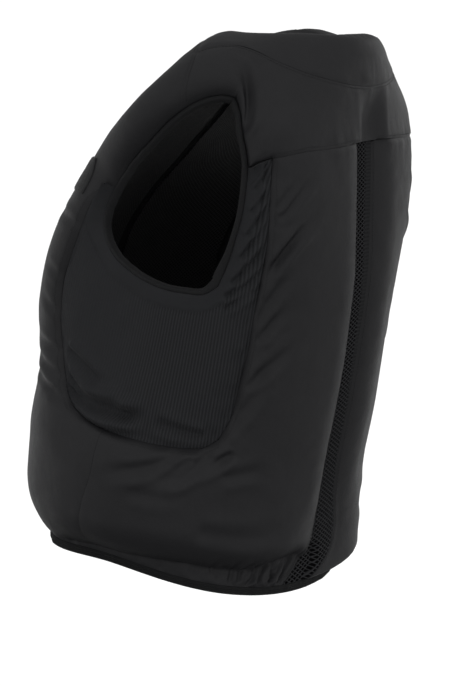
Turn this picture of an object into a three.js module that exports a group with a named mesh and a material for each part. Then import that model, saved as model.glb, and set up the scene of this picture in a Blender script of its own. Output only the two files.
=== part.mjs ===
import * as THREE from 'three';

// Inflated riding vest, kept as worn. Millimetres, +Z up, the wearer faces -Y and the wearer's left is +X.
// The origin is where the vest rests on the shoulders, between the two straps.

// ---- driving sizes ----
const REST_Y = 20;            // shoulder rest, measured from the middle of the chest
const REST_Z = 520;           // shoulder rest above the hem
const PAD = 36;               // thickness of an inflated chamber
const PAD_NECK = 24;          // thickness of the padding at the neck rim
const EDGE = 3.5;             // thinnest a chamber gets at its sewn edge
const STRIPE_DEPTH = 14;      // spine strip below the chambers
const ZIP_DEPTH = 24;         // front closure below the chambers
const ZIP_HALF = 8;           // half width of the front closure
const SIDE_DEPTH = 16;        // ribbed panel's sewn edge below the chambers
const ARM_EDGE = 5;           // padding left at the armhole edge
const HEM_SIDE = 32, HEM_BACK = 20, HEM_FRONT = 13;   // how far the lower edge is drawn in
const SKIRT_BACK = 18, SKIRT_SIDE = 8, SKIRT_FRONT = 3; // gathered cloth between the chamber and the band
const RIB_THICK = 3, STRIP_THICK = 3, ZIP_THICK = 4, LINING_THICK = 1.8;
const LINING_GAP = 1.2;
// how the neck rim rises and falls, as worn: angle, half reach in degrees, height
const RIM_LIFTS = [[45, 45, 9], [85, 35, 3], [-115, 40, 3.5], [-65, 45, -5]];
const GAP = 0.4;              // each sewn edge stands back this far from its seam
const CREASE = 2.5;           // depth of a plain seam
const BAND_HIGH = 8, BAND_THICK = 5;
const TAPE_WIDE = 5, TAPE_HIGH = 9.5, TAPE_GAP = 0.8;
const HEM_T = 0.0135;          // height of the sewn lower edge
const PATCH = { phi: [124.5, 135], tau: [0.648, 0.712], clear: 1.6, thick: 2.5 };

// Padded envelope: closed rings from the hem (t 0) to the neck rim (t 1).
// t, half width, front y, back y, front z, side z, back z, front roundness, back roundness, centre y
const RINGS = [
  [0.00, 184, -160, 158,   3,   5,  -5, 2.20, 2.05, -20],
  [0.10, 195, -178, 154,  60,  62,  60, 2.40, 1.92, -20],
  [0.20, 196, -187, 155, 120, 120, 120, 2.30, 1.85, -18],
  [0.32, 191, -188, 160, 190, 190, 190, 2.20, 1.95, -15],
  [0.44, 188, -194, 163, 260, 260, 260, 2.40, 1.98, -10],
  [0.56, 189, -181, 164, 330, 335, 330, 2.40, 2.05,  -5],
  [0.68, 195, -146, 157, 395, 425, 400, 2.20, 2.32,   5],
  [0.80, 181,  -97, 149, 455, 505, 465, 2.40, 2.35,  15],
  [0.90, 140,  -56, 140, 500, 548, 520, 2.20, 2.06,  20],
  [1.00,  76,  -28, 130, 553, 565, 575, 2.10, 2.20,  20],
];

// Seams of the left half as (angle, t): angle 0 is the centre back, 90 the left side, 180 the centre front.
const YOKE_MID = [[16.5, 0.810], [31, 0.802], [43, 0.791], [52, 0.771]];
const YOKE_TOP_MID = 0.812;
const YOKE_SIDE = [[52, 0.771], [55.5, 0.758], [58.3, 0.743]];
const REAR_UP = [[52.9, 0.277], [50, 0.313], [48.8, 0.378], [47.9, 0.43], [47.7, 0.51], [47.4, 0.594], [49, 0.67], [50.4, 0.716], [52, 0.771]];
const REAR_LOW = [[52.9, 0.277], [57.3, 0.261], [65, 0.257], [72, 0.258], [82, 0.262], [93, 0.267]];
const FRONT_LOW = [[93, 0.267], [100, 0.272], [108, 0.285]];
const FRONT_UP = [[108, 0.285], [113.5, 0.302], [118, 0.33], [121.8, 0.37], [125.8, 0.445], [126.8, 0.49], [125, 0.54], [123.2, 0.58], [122.4, 0.61], [121.2, 0.642], [117.8, 0.674]];
const ARM_REAR = [[58.3, 0.743], [57.3, 0.70], [57.1, 0.655], [58, 0.611], [59.2, 0.572], [61.4, 0.538]];
const ARM_LOW = [[61.4, 0.538], [65.5, 0.523], [74, 0.519], [84, 0.521], [94, 0.531], [104, 0.550]];
const ARM_FRONT = [[104, 0.550], [111.5, 0.576], [116.8, 0.606], [118.6, 0.64]];
const ARM_TIP = [[118.6, 0.64], [117.8, 0.674]];
const ARM_STRAP = [[117.8, 0.674], [112.5, 0.705], [100, 0.745], [93, 0.780], [88.3, 0.811]];
const ARM_TOP = [[70, 0.863], [75, 0.859], [82, 0.840], [88.3, 0.811]];
const ARM_BACK = [[58.3, 0.743], [60, 0.770], [62.8, 0.802], [66, 0.839], [70, 0.863]];
const SHOULDER_LOW = [[88.3, 0.811], [89.2, 0.848], [90.5, 0.879], [92.7, 0.901]];
const SHOULDER_TOP = [[92.7, 0.901], [99, 0.945], [108, 1.0]];
const COLLAR_SIDE = [[63.5, 0.929], [71, 0.934], [78.6, 0.934], [86, 0.922], [92.7, 0.901]];
const COLLAR_MID = [[0, 0.911], [26, 0.914], [47, 0.919], [63.5, 0.929]];
const SIDE_SEAM = [[95.8, HEM_T], [95.3, 0.08], [94.3, 0.137], [92.5, 0.19], [93, 0.267]];
const HEM_REAR_TURN = 52, HEM_FRONT_TURN = 112;
const STRIPE_HALF = 15.5;      // half width of the spine strip
// where the strip's two edges hang at its lower end, as worn: t, then the angle
const HANG_LEFT = [[0.0135, 19], [0.025, 15.6], [0.04, 12.5], [0.061, 9.2], [0.085, 6.8], [0.11, 5.8], [0.15, 5.2], [0.2, 5.1]];
const HANG_RIGHT = [[0.0135, 8], [0.025, 2.5], [0.038, -3.2], [0.05, -6.5], [0.065, -9], [0.09, -10.2], [0.11, -9.5], [0.15, -6.5], [0.2, -5.1]];

// How finely each run is divided
const ACROSS_BACK = [0, 0.06, 0.16, 0.34, 0.58, 0.82, 1];
const ACROSS_FRONT = [0, 0.07, 0.18, 0.38, 0.62, 0.82, 0.93, 1];
const LOW_ROWS = [0, 0.06, 0.16, 0.34, 0.64, 1];
const N_REAR = 7, N_TURN = 5, N_FRONT_TURN = 3, N_FRONT = 7, N_STRAP = 4, N_TOP = 3, N_BACK = 4, N_LOWS = 3, N_TOPS = 2, N_BAND = 3;

// ---- small helpers ----
const rad = (d) => d * Math.PI / 180;
const mix = (a, b, k) => a + (b - a) * k;
const clamp = (v, a, b) => Math.min(b, Math.max(a, v));
const smooth = (a, b, v) => { const k = clamp((v - a) / (b - a), 0, 1); return k * k * (3 - 2 * k); };
const even = (n) => Array.from({ length: n + 1 }, (_, i) => i / n);

function slopes(t, v) {
  const n = t.length, h = [], d = [], m = new Array(n);
  for (let i = 0; i < n - 1; i++) { h.push(t[i + 1] - t[i]); d.push((v[i + 1] - v[i]) / h[i]); }
  if (n === 2) return [d[0], d[0]];
  for (let i = 1; i < n - 1; i++) m[i] = (d[i - 1] * h[i] + d[i] * h[i - 1]) / (h[i - 1] + h[i]);
  m[0] = d[0] * 1.5 - m[1] * 0.5;
  m[n - 1] = d[n - 2] * 1.5 - m[n - 2] * 0.5;
  return m;
}
function hermite(t, v, m, x) {
  let i = 0;
  while (i < t.length - 2 && x > t[i + 1]) i++;
  const h = t[i + 1] - t[i], s = (x - t[i]) / h;
  return (2 * s ** 3 - 3 * s ** 2 + 1) * v[i] + (s ** 3 - 2 * s ** 2 + s) * h * m[i]
    + (3 * s ** 2 - 2 * s ** 3) * v[i + 1] + (s ** 3 - s ** 2) * h * m[i + 1];
}
const RING_T = RINGS.map((r) => r[0]);
const RING_V = [1, 2, 3, 4, 5, 6, 7, 8, 9].map((k) => RINGS.map((r) => r[k]));
const RING_M = RING_V.map((v) => slopes(RING_T, v));

function lookUp(table, t) {
  let i = 0;
  while (i < table.length - 2 && t > table[i + 1][0]) i++;
  const [a, va] = table[i], [b, vb] = table[i + 1];
  return mix(va, vb, clamp((t - a) / (b - a), 0, 1));
}
// The lower end of the strip hangs to the left; the cloth on both sides follows it
function drift(phiDeg, tau) {
  if (tau >= 0.2) return 0;
  const p = ((phiDeg + 180) % 360 + 360) % 360 - 180, a = stripeAngle(tau), end = stripeAngle(0.2);
  const left = lookUp(HANG_LEFT, tau) - 5.1 + end - a, right = lookUp(HANG_RIGHT, tau) + 5.1 - end + a;
  if (Math.abs(p) >= 60) return 0;
  return p > a ? left * (60 - p) / (60 - a) : p < -a ? right * (60 + p) / (60 - a) : mix(right, left, (p + a) / (2 * a));
}
function rimLift(phiDeg) {
  const p = ((phiDeg + 180) % 360 + 360) % 360 - 180;
  return RIM_LIFTS.reduce((sum, [at, reach, high]) => sum + (Math.abs(p - at) < reach ? high * Math.cos(rad((p - at) * 90 / reach)) ** 2 : 0), 0);
}
// A point of the padded envelope
function envelope(phi, tau) {
  const phiDeg = phi + drift(phi, tau);
  const [w, yf, yb, zf, zs, zb, nf, nb, yc] = RING_V.map((v, k) => hermite(RING_T, v, RING_M[k], tau));
  const s = Math.sin(rad(phiDeg)), c = Math.cos(rad(phiDeg));
  const back = c > 0, deep = back ? yb - yc : yc - yf, n = back ? nb : nf;
  const r = (Math.abs(s / w) ** n + Math.abs(c / deep) ** n) ** (-1 / n);
  const q = Math.abs(r * c / deep);
  const lift = smooth(0.86, 1, tau) * rimLift(phi);
  return new THREE.Vector3(r * s, yc + r * c - REST_Y, zs + ((back ? zb : zf) - zs) * q * q * (2 - q) + lift - REST_Z);
}
function outward(phiDeg, tau) {
  const e = 0.05, f = 0.001;
  const a = envelope(phiDeg + e, tau).sub(envelope(phiDeg - e, tau));
  const b = envelope(phiDeg, Math.min(1, tau + f)).sub(envelope(phiDeg, Math.max(0, tau - f)));
  return b.cross(a).normalize();
}
const backDepth = (tau) => hermite(RING_T, RING_V[2], RING_M[2], tau) - hermite(RING_T, RING_V[8], RING_M[8], tau);
const frontDepth = (tau) => hermite(RING_T, RING_V[8], RING_M[8], tau) - hermite(RING_T, RING_V[1], RING_M[1], tau);
const stripeAngle = (tau) => Math.atan(STRIPE_HALF / backDepth(tau)) * 180 / Math.PI;
const zipAngle = (tau) => 180 - Math.atan(ZIP_HALF / frontDepth(tau)) * 180 / Math.PI;

// A smooth run through a short table, sampled at the given fractions of its length
function run(table, fractions) {
  const len = [0];
  for (let i = 1; i < table.length; i++) len.push(len[i - 1] + Math.hypot((table[i][0] - table[i - 1][0]) * 3, (table[i][1] - table[i - 1][1]) * 580));
  const p = table.map((r) => r[0]), t = table.map((r) => r[1]), mp = slopes(len, p), mt = slopes(len, t), all = len[len.length - 1];
  return fractions.map((f, i) => (f === 0 ? [...table[0]] : f === 1 ? [...table[table.length - 1]]
    : [hermite(len, p, mp, f * all), hermite(len, t, mt, f * all)]));
}
const mirror = (list) => list.map(([p, t]) => [-p, t]);
const join = (...lists) => lists.reduce((a, b) => a.concat(a.length ? b.slice(1) : b), []);
const turned = (list) => [...list].reverse();

// ---- seam runs, shared by the panels on both sides of each ----
const yokeStart = [stripeAngle(YOKE_TOP_MID), YOKE_TOP_MID];
const yokeMid = run([yokeStart, ...YOKE_MID], ACROSS_BACK);
const yokeSide = run(YOKE_SIDE, even(N_BAND));
const rearUp = run(REAR_UP, even(N_REAR));
const rearLow = run(REAR_LOW, even(N_TURN));
const frontLow = run(FRONT_LOW, even(N_FRONT_TURN));
const frontUp = run(FRONT_UP, even(N_FRONT));
const armRear = run(ARM_REAR, even(N_REAR));
const armLow = run(ARM_LOW, even(N_TURN + N_FRONT_TURN));
const armFront = run(ARM_FRONT, even(N_FRONT));
const armTip = run(ARM_TIP, even(N_BAND));
const armStrap = run(ARM_STRAP, even(N_STRAP));
const armTop = run(ARM_TOP, even(N_TOP));
const armBack = run(ARM_BACK, even(N_BACK));
const shoulderLow = run(SHOULDER_LOW, even(N_LOWS));
const shoulderTop = run(SHOULDER_TOP, even(N_TOPS));
const collarSide = run(COLLAR_SIDE, even(N_TOP));
const yokeColumn = run([ARM_TOP[0], COLLAR_SIDE[0]], even(N_LOWS));
const sideSeam = run(SIDE_SEAM, LOW_ROWS);
const rearColumn = run([[HEM_REAR_TURN, HEM_T], [52.4, 0.15], REAR_LOW[0]], LOW_ROWS);
const frontColumn = run([[HEM_FRONT_TURN, HEM_T], [110.5, 0.15], FRONT_UP[0]], LOW_ROWS);
// spine and closure edges share their heights with the rows of the panels beside them
const stripeRows = [...LOW_ROWS.map((f) => mix(HEM_T, REAR_UP[0][1], f)), ...even(N_REAR).slice(1).map((f) => mix(REAR_UP[0][1], YOKE_TOP_MID, f))];
const stripeEdge = stripeRows.map((t) => [stripeAngle(t), t]);
const frontSide = join(frontColumn, frontUp, armStrap, shoulderLow, shoulderTop);
const zipEdge = frontSide.map(([, t]) => [zipAngle(t), t]);
const hemRear = ACROSS_BACK.map((f) => [mix(stripeEdge[0][0], HEM_REAR_TURN, f), HEM_T]);
const hemSide = even(N_TURN).map((f) => [mix(HEM_REAR_TURN, SIDE_SEAM[0][0], f), HEM_T]);
const hemTurn = even(N_FRONT_TURN).map((f) => [mix(SIDE_SEAM[0][0], HEM_FRONT_TURN, f), HEM_T]);
const hemFront = ACROSS_FRONT.map((f) => [mix(zipEdge[0][0], HEM_FRONT_TURN, f), HEM_T]);
const neckFront = ACROSS_FRONT.map((f) => [mix(zipEdge[zipEdge.length - 1][0], 108, f), 1]);
const yokeBase = join(turned(mirror(yokeSide)), turned(mirror(yokeMid)), [mirror([yokeMid[0]])[0], [0, YOKE_TOP_MID], yokeMid[0]], yokeMid, yokeSide);
const collarHalf = even((yokeBase.length - 1) / 2);
const collarMid = run(COLLAR_MID, collarHalf);
const collarTop = join(turned(mirror(collarMid)), collarMid);
const collarBase = join(turned(mirror(collarSide)), collarTop, collarSide);
const neckBack = collarBase.map((_, i) => [mix(-108, 108, i / (collarBase.length - 1)), 1]);

// ---- depth of the outer cloth below the envelope ----
const padAt = (tau) => mix(PAD, PAD_NECK, smooth(0.72, 1, tau));
const polyline = (list) => list.map(([p, t]) => envelope(p, t));
const finer = (list) => list.flatMap((a, i) => (i ? [[mix(list[i - 1][0], a[0], 0.5), mix(list[i - 1][1], a[1], 0.5)], a] : [a]));
const pair = (list) => [polyline(finer(list)), polyline(finer(mirror(list)))];
const LINES = {
  stripe: pair(stripeEdge),
  side: pair(join(turned(yokeSide), turned(rearUp), rearLow, frontLow, frontUp)),
  arm: pair(join(armStrap, turned(armTop), turned(armBack))),
  armAll: pair(join(armRear, armLow, armFront, armTip)),
  zip: pair(zipEdge),
  hem: pair(join(hemRear, hemSide, hemTurn, turned(hemFront))),
  neck: pair(join(neckBack.slice((neckBack.length - 1) / 2), turned(neckFront))),
  yoke: pair(yokeMid), collar: pair(join(collarMid, collarSide)),
  shoulder: pair(join(shoulderLow, shoulderTop)), sideSeam: pair(sideSeam),
};
const seg = new THREE.Line3(), near = new THREE.Vector3();
function distance(p, lines) {
  let best = Infinity;
  for (const line of lines) for (let i = 1; i < line.length; i++) {
    seg.set(line[i - 1], line[i]).closestPointToPoint(p, true, near);
    best = Math.min(best, near.distanceToSquared(p));
  }
  return Math.sqrt(best);
}
const roll = (d, r) => (d >= r ? 0 : 1 - Math.sqrt(1 - (1 - d / r) ** 2));
const groove = (d, r) => (d >= r ? 0 : (1 - d / r) ** 2);
function hemDepth(phiDeg) {
  const c = Math.cos(rad(phiDeg));
  return c > 0 ? mix(HEM_SIDE, HEM_BACK, c * c) : mix(HEM_SIDE, HEM_FRONT, smooth(0, 0.55, -c));
}
// the right chamber hangs full to its lower edge, as worn
const full = (phiDeg) => smooth(-4, 5, -phiDeg) * (1 - smooth(58, 75, -phiDeg));
function skirt(phiDeg) {
  const c = Math.cos(rad(phiDeg));
  const high = c > 0 ? mix(SKIRT_SIDE, SKIRT_BACK, smooth(0, 0.6, c)) : mix(SKIRT_SIDE, SKIRT_FRONT, smooth(0, 0.6, -c));
  return high * (1 - full(phiDeg));
}
const hemRoll = (phiDeg) => { const c = Math.max(0, Math.cos(rad(phiDeg))); return mix(mix(50, 32, c * c), 14, full(phiDeg)); };
function padDepth([phi, tau]) {
  const p = envelope(phi, tau), pad = padAt(tau);
  const cuts = [
    [hemDepth(phi) / pad, roll(Math.max(0, distance(p, LINES.hem) - skirt(phi)), hemRoll(phi))],
    [ZIP_DEPTH / pad, roll(distance(p, LINES.zip), 40)],
    [SIDE_DEPTH / pad, roll(distance(p, LINES.side), 52)],
    [(pad - ARM_EDGE) / pad, roll(distance(p, LINES.arm), 40)],
    [0.3, roll(distance(p, LINES.neck), 20)],
    [CREASE / pad, groove(distance(p, LINES.yoke), 12)],
    [CREASE / pad, groove(distance(p, LINES.collar), 12)],
    [CREASE / pad, groove(distance(p, LINES.shoulder), 12)],
    [CREASE / pad, groove(distance(p, LINES.sideSeam), 12)],
  ];
  if (tau < YOKE_TOP_MID - 1e-6 || Math.abs(phi) > 60) cuts.push([STRIPE_DEPTH / pad, roll(distance(p, LINES.stripe), 36)]);
  else cuts.push([12 / pad, (1 - smooth(9, 34, Math.abs(p.x))) * (1 - smooth(0.84, 0.93, tau))]);
  const left = cuts.reduce((k, [a, f]) => k * (1 - Math.min(a, 1) * f), 1);
  return Math.min(pad * (1 - left), pad - EDGE);
}
function ribDepth([phi, tau]) {
  const p = envelope(phi, tau), edge = distance(p, LINES.side), hole = distance(p, LINES.armAll);
  return mix(SIDE_DEPTH, padAt(tau) - ARM_EDGE, smooth(0, 1, edge / (edge + hole + 1e-9)));
}

// ---- panel meshes ----
class Cloth {
  constructor() { this.nodes = []; this.index = new Map(); this.tris = []; }
  node(p) {
    const key = p[0].toFixed(3) + '/' + p[1].toFixed(5);
    if (!this.index.has(key)) { this.index.set(key, this.nodes.length); this.nodes.push({ key, p, at: envelope(...p), up: outward(...p) }); }
    return this.index.get(key);
  }
  face(a, b, c) {
    if (a === b || b === c || c === a) return;
    const [pa, pb, pc] = [a, b, c].map((i) => this.nodes[i].p);
    const turn = (pb[0] - pa[0]) * (pc[1] - pa[1]) - (pb[1] - pa[1]) * (pc[0] - pa[0]);
    this.tris.push(turn > 0 ? [a, c, b] : [a, b, c]);
  }
  grid(rows) {
    const id = rows.map((row) => row.map((p) => this.node(p)));
    for (let i = 1; i < id.length; i++) for (let j = 1; j < id[i].length; j++) {
      const a = id[i - 1][j - 1], b = id[i - 1][j], c = id[i][j], d = id[i][j - 1], at = (k) => this.nodes[k].at;
      if (at(a).distanceTo(at(c)) <= at(b).distanceTo(at(d))) { this.face(a, b, c); this.face(a, c, d); } else { this.face(a, b, d); this.face(b, c, d); }
    }
    return this;
  }
}
// fills the space between four runs: base and top left to right, left and right base to top
function fill(base, top, left, right) {
  const part = (list) => { const l = [0]; list.forEach((p, i) => { if (i) l.push(l[i - 1] + Math.hypot((p[0] - list[i - 1][0]) * 3, (p[1] - list[i - 1][1]) * 580)); }); return l.map((v) => v / l[l.length - 1]); };
  const ub = part(base), ut = part(top), vl = part(left), vr = part(right), n = base.length - 1, m = left.length - 1;
  return left.map((_, i) => base.map((__, j) => {
    if (i === 0) return base[j];
    if (i === m) return top[j];
    if (j === 0) return left[i];
    if (j === n) return right[i];
    let u = (ub[j] + ut[j]) / 2, v = mix(vl[i], vr[i], u);
    u = mix(ub[j], ut[j], v);
    return [0, 1].map((k) => (1 - u) * left[i][k] + u * right[i][k] + (1 - v) * base[j][k] + v * top[j][k]
      - (1 - u) * (1 - v) * base[0][k] - u * (1 - v) * base[n][k] - (1 - u) * v * top[0][k] - u * v * top[n][k]);
  }));
}
const flip = (rows) => rows.map(mirror);

// Thickens a cloth between two depths and closes its edges
function solid(cloth, outer, inner, gap) {
  const { nodes, tris } = cloth, n = nodes.length, edges = new Map();
  for (const t of tris) for (let k = 0; k < 3; k++) {
    const a = t[k], b = t[(k + 1) % 3];
    if (edges.has(b + '_' + a)) edges.delete(b + '_' + a); else edges.set(a + '_' + b, [a, b]);
  }
  const rim = [...edges.values()], shift = nodes.map(() => []);
  for (const [a, b] of rim) {
    const d = nodes[b].at.clone().sub(nodes[a].at);
    for (const i of [a, b]) shift[i].push(nodes[i].up.clone().cross(d).normalize());
  }
  const top = [], low = [];
  nodes.forEach((v, i) => {
    const move = new THREE.Vector3();
    if (shift[i].length) {
      const [m1, m2] = shift[i];
      move.copy(m1).add(m2).multiplyScalar(gap / Math.max(0.25, 1 + m1.dot(m2)));
    }
    const o = outer(v.p), q = inner(v.p, o);
    top.push(v.at.clone().add(move).addScaledVector(v.up, -o));
    low.push(v.at.clone().add(move).addScaledVector(v.up, -q));
  });
  const faces = [];
  for (const [a, b, c] of tris) faces.push([a, b, c], [n + a, n + c, n + b]);
  for (const [a, b] of rim) {
    if (nodes[a].key < nodes[b].key) faces.push([b, a, n + b], [a, n + a, n + b]);
    else faces.push([b, a, n + a], [b, n + a, n + b]);
  }
  return { points: [...top, ...low], faces };
}
// Sweeps a closed section, given as points per station, round a closed loop
function hoop(stations) {
  const k = stations[0].length, n = stations.length, faces = [];
  for (let i = 0; i < n; i++) for (let j = 0; j < k; j++) {
    const a = i * k + j, b = i * k + (j + 1) % k, c = ((i + 1) % n) * k + (j + 1) % k, d = ((i + 1) % n) * k + j;
    faces.push([a, b, c], [a, c, d]);
  }
  return { points: stations.flat(), faces };
}

// ---- assembly ----
const SLOTS = {
  shell: [0x1b1b1c, 0.62], rib_knit: [0x18181a, 0.85], air_mesh: [0x151516, 0.8], lining_mesh: [0x101011, 0.9],
  binding: [0x1a1a1c, 0.7], elastic: [0x19191a, 0.85], zip_tape: [0x141415, 0.6], patch: [0x1d1d1e, 0.6],
};
const vest = new THREE.Group();
vest.name = 'airbag_vest';
function add(name, slot, { points, faces }) {
  const g = new THREE.BufferGeometry();
  let volume = 0;
  for (const [a, b, c] of faces) volume += points[a].dot(points[b].clone().cross(points[c])) / 6;
  g.setAttribute('position', new THREE.Float32BufferAttribute(points.flatMap((p) => [p.x, p.y, p.z]), 3));
  g.setIndex((volume < 0 ? faces.map(([a, b, c]) => [a, c, b]) : faces).flat());
  g.computeVertexNormals();
  const mesh = new THREE.Mesh(g, new THREE.MeshStandardMaterial({ color: SLOTS[slot][0], roughness: SLOTS[slot][1], metalness: 0 }));
  mesh.name = name;
  vest.add(mesh);
}
const inside = (p) => padAt(p[1]);
const lined = (p) => padAt(p[1]) + LINING_GAP;
const linedIn = (p, o) => o + LINING_THICK;

const backMain = fill(hemRear, yokeMid, stripeEdge, join(rearColumn, rearUp));
const backLow = fill(hemSide, rearLow, rearColumn, sideSeam);
const frontMain = fill(hemFront, neckFront, zipEdge, frontSide);
const frontLowGrid = fill(hemTurn, frontLow, sideSeam, frontColumn);
const ribOuter = join(turned(rearUp), rearLow, frontLow, frontUp);
const ribInner = join(armRear, armLow, armFront);
const ribGrid = ribOuter.map((o, i) => {
  if (i === 0) return yokeSide;
  if (i === ribOuter.length - 1) return turned(armTip);
  return even(N_BAND).map((f) => [mix(o[0], ribInner[i][0], f), mix(o[1], ribInner[i][1], f)]);
});
const stripeGrid = stripeEdge.map(([p, t], i) => [[-p, t], [0, i === stripeEdge.length - 1 ? YOKE_TOP_MID : t], [p, t]]);
const yokeMain = fill(yokeBase, collarTop, join(mirror(armBack), mirror(yokeColumn)), join(armBack, yokeColumn));
const yokeWing = fill(armTop, collarSide, yokeColumn, shoulderLow);
const collarGrid = fill(collarBase, neckBack, mirror(shoulderTop), shoulderTop);
const zipGrid = zipEdge.map(([p, t]) => [[p, t], [180, t], [360 - p, t]]);

add('collar', 'shell', solid(new Cloth().grid(collarGrid), padDepth, inside, GAP));
add('back_yoke', 'shell', solid(new Cloth().grid(yokeMain).grid(yokeWing).grid(flip(yokeWing)), padDepth, inside, GAP));
add('back_panel_left', 'shell', solid(new Cloth().grid(backMain).grid(backLow), padDepth, inside, GAP));
add('back_panel_right', 'shell', solid(new Cloth().grid(flip(backMain)).grid(flip(backLow)), padDepth, inside, GAP));
add('spine_mesh', 'air_mesh', solid(new Cloth().grid(stripeGrid), ([p, t]) => Math.max(STRIPE_DEPTH, hemDepth(p) * roll((t - HEM_T) * 600, 40)), (p, o) => o + STRIP_THICK, GAP));
add('front_panel_left', 'shell', solid(new Cloth().grid(frontMain).grid(frontLowGrid), padDepth, inside, GAP));
add('front_panel_right', 'shell', solid(new Cloth().grid(flip(frontMain)).grid(flip(frontLowGrid)), padDepth, inside, GAP));
add('side_panel_left', 'rib_knit', solid(new Cloth().grid(ribGrid), ribDepth, (p, o) => o + RIB_THICK, GAP));
add('side_panel_right', 'rib_knit', solid(new Cloth().grid(flip(ribGrid)), ribDepth, (p, o) => o + RIB_THICK, GAP));
add('front_zip', 'zip_tape', solid(new Cloth().grid(zipGrid), ([, t]) => Math.min(ZIP_DEPTH + 2, padAt(t) - ZIP_THICK - 1), (p, o) => o + ZIP_THICK, GAP));
add('lining_back', 'lining_mesh', solid(new Cloth().grid(backMain).grid(backLow).grid(flip(backMain)).grid(flip(backLow)).grid(stripeGrid)
  .grid(yokeMain).grid(yokeWing).grid(flip(yokeWing)).grid(collarGrid), lined, linedIn, GAP));
add('lining_front_left', 'lining_mesh', solid(new Cloth().grid(frontMain).grid(frontLowGrid), lined, linedIn, GAP));
add('lining_front_right', 'lining_mesh', solid(new Cloth().grid(flip(frontMain)).grid(flip(frontLowGrid)), lined, linedIn, GAP));

// tape round each armhole, just inside the sewn edges
const armLoop = join(armRear, armLow, armFront, armTip, armStrap, turned(armTop), turned(armBack)).slice(0, -1);
for (const [name, loop, sign] of [['armhole_binding_left', armLoop, -1], ['armhole_binding_right', mirror(armLoop), 1]]) {
  const n = loop.length, at = loop.map((p) => envelope(...p));
  add(name, 'binding', hoop(loop.map((p, i) => {
    const up = outward(...p), d1 = at[i].clone().sub(at[(i + n - 1) % n]), d2 = at[(i + 1) % n].clone().sub(at[i]);
    const m1 = up.clone().cross(d1).normalize(), m2 = up.clone().cross(d2).normalize();
    const into = m1.add(m2).multiplyScalar(sign / Math.max(0.5, 1 + m1.dot(m2)));
    const top = padAt(p[1]) - ARM_EDGE - 1.5;
    return [[TAPE_GAP, 1], [TAPE_GAP + 1.2, 0], [TAPE_GAP + TAPE_WIDE - 1.2, 0], [TAPE_GAP + TAPE_WIDE, 1.4],
      [TAPE_GAP + TAPE_WIDE, TAPE_HIGH - 1.4], [TAPE_GAP + TAPE_WIDE - 1.2, TAPE_HIGH], [TAPE_GAP + 1.2, TAPE_HIGH], [TAPE_GAP, TAPE_HIGH - 1]]
      .map(([h, d]) => at[i].clone().addScaledVector(into, h).addScaledVector(up, -top - d));
  })));
}

// elastic band below the sewn lower edge
const hemHalf = join(hemRear, hemSide, hemTurn, turned(hemFront));
const hemLoop = [[0, HEM_T], ...hemHalf, [180, HEM_T], ...turned(mirror(hemHalf))];
add('hem_band', 'elastic', hoop(hemLoop.map((p) => {
  const up = outward(...p), flat = up.clone().setZ(0).normalize(), e = envelope(...p).addScaledVector(up, -hemDepth(p[0]));
  return [[0.5, -1], [0.5, -1 - BAND_HIGH], [0.5 - BAND_THICK, -1 - BAND_HIGH], [0.5 - BAND_THICK, -1]]
    .map(([out, z]) => e.clone().addScaledVector(flat, out).setZ(e.z + z));
})));

// blank patch on the left chest
const patchGrid = even(4).map((v) => even(4).map((u) => [mix(...PATCH.phi, u), mix(...PATCH.tau, v)]));
add('chest_patch', 'patch', solid(new Cloth().grid(patchGrid), (p) => padDepth(p) - PATCH.clear - PATCH.thick, (p, o) => o + PATCH.thick, 0));

export default vest;
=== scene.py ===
import math

import bpy
import numpy as np
from mathutils import Matrix


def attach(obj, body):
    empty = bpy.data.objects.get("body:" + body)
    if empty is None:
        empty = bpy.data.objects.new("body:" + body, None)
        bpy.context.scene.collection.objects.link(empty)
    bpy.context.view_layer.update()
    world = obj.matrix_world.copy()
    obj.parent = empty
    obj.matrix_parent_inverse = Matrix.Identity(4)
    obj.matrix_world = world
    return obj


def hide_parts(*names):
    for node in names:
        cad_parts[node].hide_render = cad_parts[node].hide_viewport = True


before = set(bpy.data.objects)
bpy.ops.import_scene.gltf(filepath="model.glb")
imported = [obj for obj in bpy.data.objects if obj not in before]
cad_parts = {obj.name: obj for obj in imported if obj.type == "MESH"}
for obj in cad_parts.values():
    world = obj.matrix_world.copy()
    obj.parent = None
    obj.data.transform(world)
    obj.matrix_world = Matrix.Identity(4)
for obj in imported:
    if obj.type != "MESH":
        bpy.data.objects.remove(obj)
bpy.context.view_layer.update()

# Inflated riding vest. All shapes are worked out in millimetres in the frame of the CAD part and
# written to the meshes in metres.

# ---------------------------------------------------------------- sizes shared with the CAD part
REST_Y, REST_Z = 20.0, 520.0
PAD, PAD_NECK, EDGE = 36.0, 24.0, 3.5
STRIPE_DEPTH, ZIP_DEPTH, ZIP_HALF, SIDE_DEPTH, ARM_EDGE = 14.0, 24.0, 8.0, 16.0, 5.0
HEM_SIDE, HEM_BACK, HEM_FRONT = 32.0, 20.0, 13.0
SKIRT_BACK, SKIRT_SIDE, SKIRT_FRONT = 18.0, 8.0, 3.0
RIB_THICK, STRIP_THICK, ZIP_THICK, LINING_THICK, LINING_GAP = 3.0, 3.0, 4.0, 1.8, 1.2
GAP, CREASE = 0.12, 1.1
# how the neck rim rises and falls, as worn: angle, half reach in degrees, height
RIM_LIFTS = [(45, 45, 9.0), (85, 35, 3.0), (-115, 40, 3.5), (-65, 45, -5.0)]
BAND_HIGH, BAND_THICK = 8.0, 5.0
TAPE_WIDE, TAPE_HIGH, TAPE_GAP = 5.0, 9.5, 0.8
HEM_T, YOKE_TOP_MID = 0.0135, 0.812
PATCH_PHI, PATCH_TAU, PATCH_CLEAR, PATCH_THICK = (124.5, 135.0), (0.648, 0.712), 1.6, 2.5

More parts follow.
